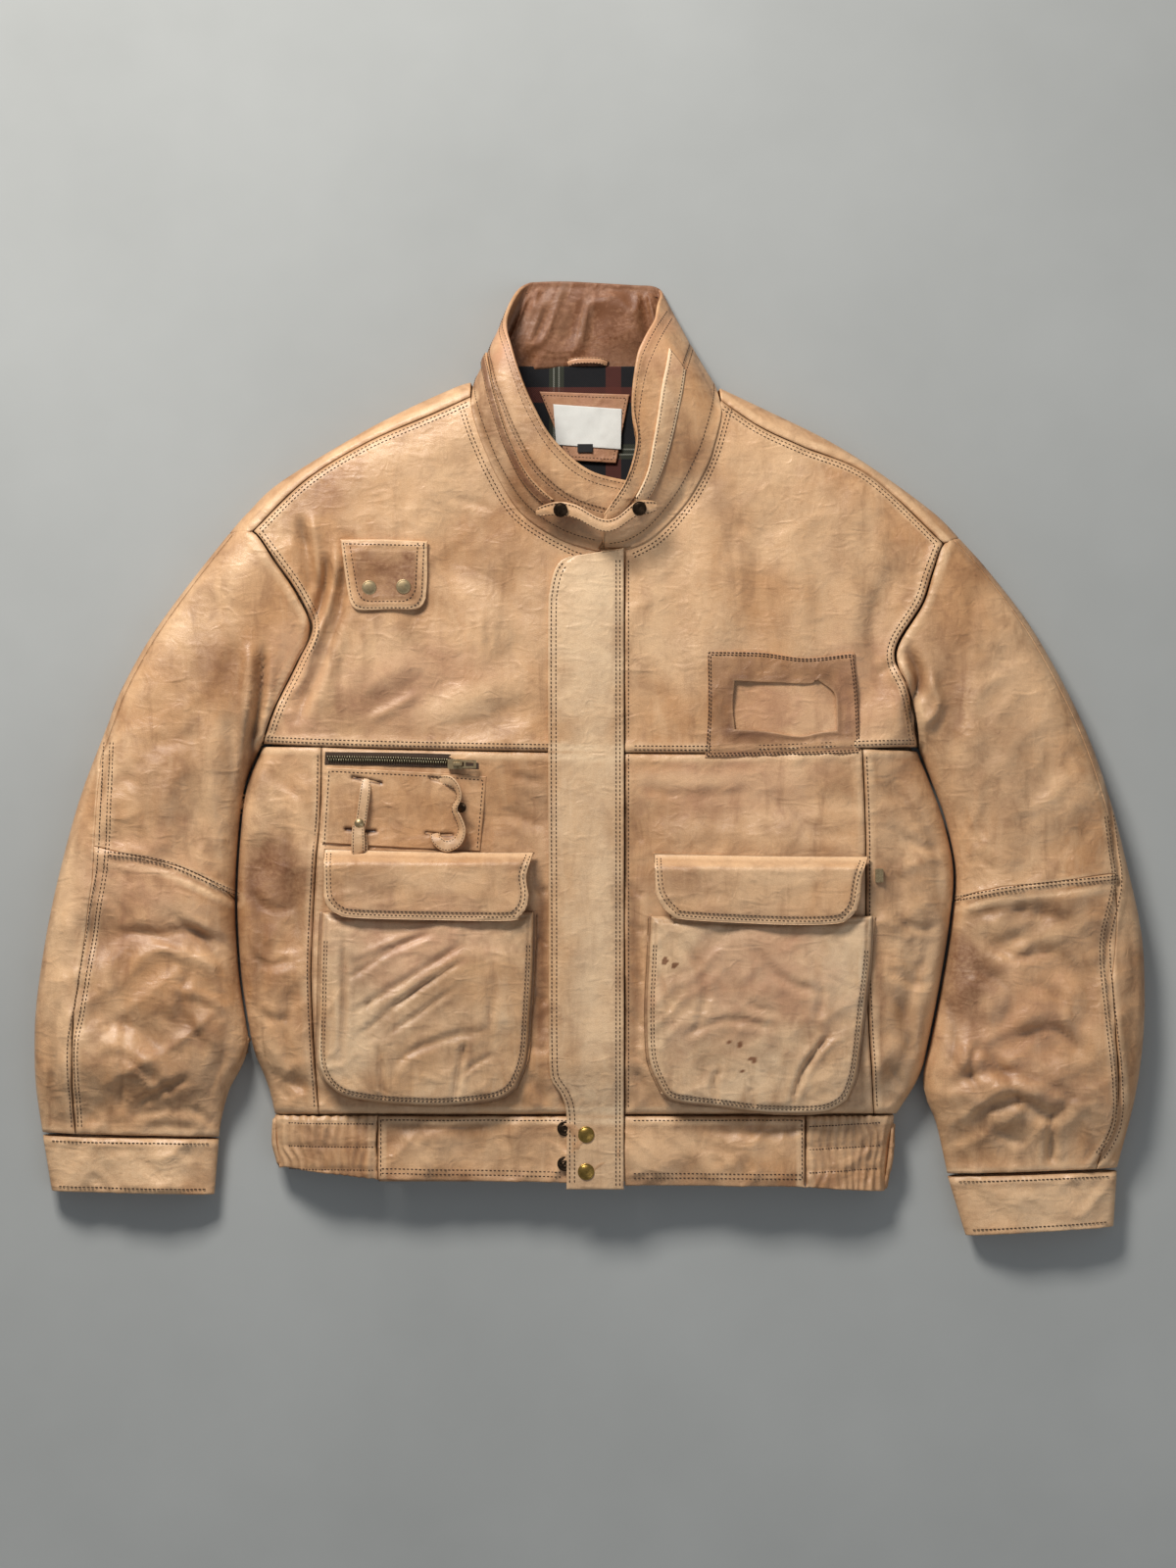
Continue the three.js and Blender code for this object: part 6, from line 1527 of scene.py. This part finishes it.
# ------------------------------------------------------------------ pockets
def pocket(side, sides, flap_sides, creases, darts, stitch_line, seed):
    """A bellows pocket: a puffed front that rolls down at its rim, a gusset round it, and a flap over it."""
    crease_lines = [(route(line)(np.linspace(0, 1, 16)), depth, 0.62 * width) for line, depth,
                    width in creases + darts]

    def front(at):
        flat = at.reshape(-1, 2)
        gap = edge_gap(at, sides).reshape(-1)
        extra, dark = np.zeros(len(flat)), np.zeros(len(flat))
        fold_in(flat, crease_lines, extra, dark)
        warp = flat + 8 * np.stack([noise(flat, 30, seed), noise(flat, 30, seed + 1)], -1)
        extra += 1.5 * noise(flat, 44, seed + 2) + 0.9 * (ridged(turned(warp, 38, 2.4), 17, seed + 3) - 0.4)
        extra += 0.5 * (ridged(turned(warp, -42, 2.0), 9, seed + 4) - 0.4)
        # painted shade in the crumple troughs and in the groove inside the rim
        dark += 0.12 * (ridged(turned(warp, 38, 2.4), 17, seed + 3) < -0.5)
        dark += 0.35 * np.exp(-((gap - 4.6) / 1.0) ** 2) * (flat[:, 1] < -110)
        inward = np.clip(gap / 9, 0, 1)
        rise = np.sqrt(1 - (1 - inward) ** 2)
        y = flat[:, 1]
        crown = 2.6 * np.clip(np.sin(math.pi * np.clip((y + 300) / 190, 0, 1)), 0, 1)
        groove = 0.8 * np.exp(-((gap - 4.6) / 1.4) ** 2)
        height = 45.6 + rise * (6.0 + crown) + extra * rise - groove
        height = np.minimum(height, 55.2)
        return height.reshape(at.shape[:-1]), dark.reshape(at.shape[:-1])

    xy = region_of(*sides, 92, 92, dense=0.55)
    z, dark = front(xy)
    cloth_piece(f"pocket_{side}_front", lifted(xy, z), look(xy, dark), PALE_LEATHER,
                [f"pocket_{side}"],
                thick=2.2)

    rim = np.concatenate([route(sides[2])(np.linspace(1, 0, 50)), route(sides[0])(np.linspace(0, 1, 70))[1:],
                          route(sides[3])(np.linspace(0, 1, 50))[1:]])
    ahead = unit(np.gradient(rim, axis=0))
    outward = np.stack([ahead[:, 1], -ahead[:, 0]], -1)
    ground = top(rim)
    t = np.linspace(0, 1, 12)[:, None]
    flare = 5.2 * t**0.8 - 2.5 * np.sin(math.pi * t) ** 2 - 2.4
    gusset_xy = rim[None] + outward[None] * flare[..., None]
    gusset_z = 45.4 + (ground[None] + 1.6 - 45.4) * t + 0.5 * noise(gusset_xy, 12, seed + 6)
    P_gusset = lifted(gusset_xy, gusset_z)
    # the gusset is darkened all over, most at its middle height: painted shade
    cloth_piece(f"pocket_{side}_gusset", P_gusset,
                look(gusset_xy, 0.35 + 0.4 * np.sin(math.pi * t) + 0 * gusset_z),
                LEATHER, [f"pocket_gusset_{side}"], thick=1.6,
                face=lambda Q: np.stack([*np.moveaxis(Q[..., :2] - rim.mean(0), -1, 0), 0 * Q[..., 2]], -1))
    for inset in (3.4, 6.0):
        line = np.concatenate([rim[:1], rim[8:-8:3], rim[-1:]])
        toward = np.stack([-np.gradient(line[:, 1]), np.gradient(line[:, 0])], -1)
        line = line + unit(toward) * inset
        sew_on(lambda at: front(at)[0], line[1:-1], rounded=True)

    def flap_top(at):
        gap = edge_gap(at, flap_sides)
        swell = np.sqrt(np.clip(gap / 8, 0, 1))
        y_top = flap_sides[1][0][1]
        drop = smooth(y_top - 15, y_top - 1, at[..., 1])
        groove = 0.9 * np.exp(-((gap - 6.0) / 1.7) ** 2)
        flat = at.reshape(-1, 2)
        extra = 1.1 * noise(flat, 34, seed + 7) + 0.5 * (ridged(turned(flat, 12, 2.6), 15, seed + 8) - 0.4)
        z = 57.6 + 3.2 * swell - groove + extra.reshape(at.shape[:-1])
        return z * (1 - drop) + drop * (45.8 + 1.6 * swell)

    xy = region_of(*flap_sides, 88, 40, dense=0.45)
    # painted shade in the flap's groove, 6 mm in from its edge
    looks = look(xy, 0.2 * np.exp(-((edge_gap(xy, flap_sides) - 6.0) / 1.6) ** 2))
    looks[..., 1] = np.maximum(looks[..., 1], 0.65 * np.exp(-((edge_gap(xy, flap_sides) - 2.5) / 3.6) ** 2))
    cloth_piece(f"flap_{side}_leather", lifted(xy, flap_top(xy)), looks, LEATHER,
                [f"flap_{side}"],
                thick=3.0)
    for row in stitch_line:
        sew_on(flap_top, row, (0, 3.4), rounded=True)


POCKET_L = ([[-227.8, -277.1], [-211.7, -289], [-178.5, -294.9], [-149.6, -296.6], [-119.8, -296.6],
             [-79.9, -291.6], [-63.8, -281.3]],
            [[-231.2, -129.2], [-140.2, -132.6], [-47.6, -129.2]],
            [[-227.8, -277.1], [-234.6, -256.7], [-233.8, -214.2], [-232.9, -171.7], [-231.2, -129.2]],
            [[-63.8, -281.3], [-54.4, -256.7], [-51, -216.8], [-48.4, -171.7], [-47.6, -129.2]])
FLAP_L = ([[-229.5, -114.8], [-226.1, -125], [-217.6, -131.8], [-203.2, -135.2], [-145.3, -136.8],
           [-70.5, -137.7], [-59.5, -133.4], [-53.5, -125], [-51.9, -113.9]],
           [[-230.3, -74], [-136.8, -76.5], [-46.8, -77.3]],
          [[-229.5, -114.8], [-230.3, -74]], [[-51.9, -113.9], [-53.5, -96.9], [-46.8, -77.3]])
pocket("left", POCKET_L, FLAP_L,
       [([[-210.8, -178.5], [-175.1, -161.5], [-141.9, -147.9]], 1.0, 4),
        ([[-204.8, -239.7], [-170.8, -214.2], [-126.6, -180.2]], 1.2, 4),
        ([[-169.2, -262.6], [-153.8, -249.9], [-140.2, -240.5]], 1.2, 4),
        ([[-94.3, -158.9], [-87.5, -197.2], [-83.3, -233.8]], 1.2, 4.5),
        ([[-190.4, -201.4], [-191.2, -222.7], [-186.2, -241.4]], 1.2, 4),
        ([[-81.6, -252.4], [-102.8, -263.5], [-111.3, -273.7]], 1.2, 4),
        ([[-210.8, -220.2], [-153.8, -185.3], [-103.7, -153.8]], 1.7, 4.5),
        ([[-182.8, -218.4], [-136.8, -188.7], [-102, -165.8]], 1.8, 4),
        ([[-179.3, -238.8], [-143.7, -214.2], [-112.2, -192.1]], 1.8, 4),
        ([[-213.3, -146.2], [-211.7, -205.7], [-215, -265.2]], 2.0, 5),
        ([[-213.3, -190.4], [-170.8, -163.2], [-128.3, -144.5]], 1.6, 4.5),
        ([[-162.3, -256.7], [-128.3, -239.7], [-85.8, -231.2]], 1.6, 6),
        ([[-85.8, -154.7], [-81.6, -197.2], [-89.2, -239.7]], 1.4, 7)],
       [([[-176.8, -294.9], [-179.3, -269.4], [-182.8, -240.5]], 3.0, 4),
        ([[-116.5, -295.8], [-113, -269.4], [-106.2, -237.2]], 3.0, 4)],
       [[[-226.9, -78.2], [-226.1, -110.5], [-222.7, -120.7], [-215, -127.5], [-201.4, -130.9],
         [-145.3, -132.6], [-72.2, -133.4], [-62.9, -130], [-56.9, -122.4], [-55.2, -111.3], [-56.9, -96.9],
         [-51, -80.8]]],
       81)
POCKET_R = ([[61.2, -280.5], [72.2, -292.4], [113.9, -298.3], [158.1, -303.4], [203.2, -302.6],
             [223.5, -292.4]],
            [[53.5, -132.6], [152.2, -136], [245.7, -132.6]],
            [[61.2, -280.5], [51.9, -256.7], [50.1, -213.3], [51.9, -171.7], [53.5, -132.6]],
            [[223.5, -292.4], [232, -267.8], [238.8, -213.3], [243.9, -171.7], [245.7, -132.6]])
FLAP_R = ([[56.9, -110.5], [61.2, -122.4], [69.7, -131.8], [84.1, -136.8], [167.4, -141.1], [213.3, -140.2],
           [225.2, -135.2], [232, -125.8], [234.6, -112.2]], [[55.2, -78.2], [148.8, -79.9], [243.1, -80.8]],
          [[56.9, -110.5], [55.2, -78.2]], [[234.6, -112.2], [236.3, -97.8], [243.1, -80.8]])
pocket("right", POCKET_R, FLAP_R,
       [([[84.1, -154.7], [101.1, -197.2], [88.4, -239.7]], 1.8, 6),
        ([[135.2, -150.4], [169.2, -188.7], [211.7, -201.4]], 1.8, 7),
        ([[75.6, -239.7], [118.1, -222.7], [169.2, -231.2]], 1.6, 6),
        ([[186.2, -154.7], [201.4, -197.2], [194.7, -231.2]], 1.6, 6),
        ([[113.9, -167.4], [135.2, -205.7], [169.2, -218.4]], 1.4, 6),
        ([[58.6, -175.9], [72.2, -222.7]], 1.4, 4)],
       [([[112.2, -296.6], [108, -277.9], [113.9, -263.5]], 3.2, 4.5),
        ([[174.2, -300.9], [186.2, -265.2], [211.7, -231.2]], 3.2, 4.5),
        ([[143.7, -299.2], [138.5, -280.5]], 2.0, 4)],
       [[[58.6, -82.5], [60.4, -107.1], [64.6, -118.1], [73.1, -127.5], [85.8, -132.6], [167.4, -136.8],
         [211.7, -136], [221.8, -130.9], [227.8, -123.2], [230.3, -110.5], [232.9, -97.8], [238, -85.8]]],
       101)

# ------------------------------------------------------------------ snaps, slider, pull and rivet
CAP = [(0.0, -0.4), (0.94, -0.4), (1.0, 0.1), (0.97, 0.5), (0.90, 0.74), (0.86, 0.62), (0.82, 0.62),
       (0.78, 0.78),
       (0.62, 1.3), (0.4, 1.72), (0.2, 1.92), (0.03, 1.98)]
SOCKET_FORM = [(0.0, 0.0), (1.0, 0.0), (1.0, 0.5), (0.92, 0.9), (0.8, 0.95), (0.72, 0.55), (0.5, 0.5),
               (0.46, 1.0),
               (0.34, 1.1), (0.28, 0.7), (0.02, 0.65)]


def cap(name, spot, z, radius, material, node, form=CAP, tilt=(0.0, 0.0), rise=1.0):
    profile = [(r, h * rise / radius) for r, h in form]
    points, faces = lathe((*spot, z), radius, tilt, profile)
    place(name, raw_mesh(name, points, faces), material, "jacket", [node])


def surface_at(surface, spot):
    return float(surface(np.array([spot], float))[0])


for side, spot in (("left", [-190.4, 151.3]), ("right", [-160.7, 152.2])):
    cap(f"chest_snap_{side}_cap", spot, surface_at(chest_flap_top, spot) + 0.3, 6.4, ANTIQUE,
        f"chest_snap_{side}", rise=0.4)
for word, spot, other in (("upper", [-2.5, -323], [-21.2, -317.9]),
                          ("lower", [-2.5, -355.3], [-21.2, -348.5])):
    cap(f"hem_snap_{word}_cap", spot, surface_at(placket_top, spot) + 0.3, 7.2, BRASS,
        f"hem_snap_{word}",
        rise=1.05)
    cap(f"socket_snap_{word}_ring", other, surface_at(top, other) + 1.6, 6.4, BRONZE,
        f"socket_snap_{word}",
        form=SOCKET_FORM)
cap("throat_snap_left_cap", [-24.6, 217.6], 64.2, 6.2, BRONZE, "throat_snap_left",
    tilt=(0.05, 0.35))
cap("throat_snap_right_cap", [43.4, 218.4], 72.2, 6.2, BRONZE, "throat_snap_right",
    tilt=(-0.05, 0.3))
cap("loop_rivet_cap", [-198.9, -52.7], on_patch + 5.6, 4.2, ANTIQUE, "loop_rivet")
cap("loop_snap_cap", [-110.5, -39.1], on_patch + 8.6, 4.4, BRONZE, "loop_rivet",
    tilt=(0.9, 0.0))


def rounded_copy(node, name, material, body, width):
    """A machined piece: the frame's own solid with its edges eased."""
    obj = bpy.data.objects.new(name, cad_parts[node].data.copy())
    scene.collection.objects.link(obj)
    obj.data.materials.clear()
    obj.data.materials.append(material)
    bevel = obj.modifiers.new("eased", "BEVEL")
    bevel.width = width * MM
    bevel.segments = 2
    bevel.limit_method = "ANGLE"
    weld = obj.modifiers.new("weld", "WELD")
    weld.merge_threshold = 1e-6
    obj.modifiers.move(1, 0)
    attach(obj, body)
    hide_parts(node)


rounded_copy("zip_slider", "zip_slider_body", ANTIQUE, "jacket", 0.3)
rounded_copy("zip_pull", "zip_pull_ring", ANTIQUE, "pull_tab", 0.22)
rounded_copy("side_zip_slider", "side_zip_slider_body", ANTIQUE, "jacket", 0.4)

# ------------------------------------------------------------------ topstitching
skin_top = lambda xy: top(xy) + 0.05
yoke_top = lambda xy: top(xy) + yoke_lift(xy) + 0.05
sew_on(yoke_top, YOKE_SEAM_L, (3.2, 6.4), ends=(0.01, 0.8))
sew_on(yoke_top, YOKE_SEAM_R, (3.2, 6.4), ends=(0.03, 0.99))
sew_on(skin_top, ARMHOLE_L, (3.4, 6.8), ends=(0.02, 0.98))
sew_on(skin_top, ARMHOLE_R, (-3.4, -6.8), ends=(0.02, 0.98))
sew_on(skin_top, SHOULDER_SEAM_L, (3.2, 6.2), ends=(0.02, 0.98))
sew_on(skin_top, SHOULDER_SEAM_R, (-3.2, -6.2), ends=(0.02, 0.98))
sew_on(skin_top, SIDE_SEAM_L, (3.2,), ends=(0.02, 0.98))
sew_on(skin_top, SIDE_SEAM_R, (-3.2,), ends=(0.02, 0.98))
sew_on(skin_top, SLEEVE_SEAM_L, (3.0, 6.0, -3.0),
       ends=(0.06, 0.99))
sew_on(skin_top, NECK_L, (7.6, 10.8), ends=(0.06, 0.97))
sew_on(skin_top, NECK_R, (-7.6, -10.8), ends=(0.02, 0.97))
sew_on(skin_top, ELBOW_SEAM_L, (3.2, 6.2))
sew_on(skin_top, SLEEVE_SEAM_R,
       (-3.0, -6.0, 3.0), ends=(0.08, 0.98))
sew_on(skin_top, ELBOW_SEAM_R, (3.2, 6.2))
band_top = lambda xy: top(xy) + band_lift(xy) + 0.05
sew_on(band_top, [[BAND_SPLIT_L + 3, HEM_TOP - 4], [20, HEM_TOP - 4]])
sew_on(band_top, [[38, HEM_TOP - 4], [BAND_SPLIT_R - 3, HEM_TOP - 4]])
sew_on(band_top, [[BAND_SPLIT_L + 3, -357], [-24, -360]], (0, 4))
sew_on(band_top, [[38, -361], [BAND_SPLIT_R - 3, -362]], (0, 4))
sew_on(band_top, [[BAND_SPLIT_L + 3, -360], [BAND_SPLIT_L + 3, HEM_TOP - 3]])
sew_on(band_top, [[BAND_SPLIT_R - 3, -362], [BAND_SPLIT_R - 3, HEM_TOP - 3]])
gathered_top = lambda xy: top(xy) + gathers(xy) + 0.1
for level in SHIRRING_ROWS:
    for row in ([[-262, level], [BAND_SPLIT_L - 3, level - 1]],
                [[BAND_SPLIT_R + 3, level - 3], [254, level]]):
        sew_on(gathered_top, row, **SHIRRING_STITCH)
for cuff in (CUFF_L, CUFF_R):
    first, last = np.array(cuff[0]), np.array(cuff[1])
    for share in (0.09, 0.9):
        a = first[0] + (first[1] - first[0]) * share
        b = last[0] + (last[1] - last[0]) * share
        sew_on(lambda xy: top(xy) + 1.0, [a + (b - a) * 0.05, b - (b - a) * 0.05])
placket_stitch = lambda xy: placket_top(xy) + 0.05
sew_on(placket_stitch, PLACKET_EDGE, (-3.2, -7.4), ends=(0.01, 0.99))
sew_on(placket_stitch, [[PLACKET_SEAM - 3.2, -368], [PLACKET_SEAM - 3.2, 176]], (0, 3.4), rounded=False)
sew_on(skin_top, [[PLACKET_SEAM + 4.2, -300], [PLACKET_SEAM + 4.2, 176]], rounded=False)
stitch_piece("topstitching", THREAD)

# ------------------------------------------------------------------ floor
floor_mesh = bpy.data.meshes.new("floor")
wide = 6.0
floor_mesh.from_pydata([(-wide, -wide, 0), (wide, -wide, 0), (wide, wide, 0), (-wide, wide, 0)], [],
                       [(0, 1, 2, 3)])
floor = bpy.data.objects.new("floor", floor_mesh)
scene.collection.objects.link(floor)
m = Nodes("floor_pale")
tone = m.mix(m.spread(m.noise(2.2, 5.0, 0.6), 0.3, 0.7), srgb(160, 161, 158), srgb(172, 173, 170))
floor_mesh.materials.append(m.finish(Base_Color=tone, Roughness=0.9))

for node, material in (("label", LABEL), ("size_tag", BLACK_CLOTH)):
    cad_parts[node].data.materials.clear()
    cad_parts[node].data.materials.append(material)
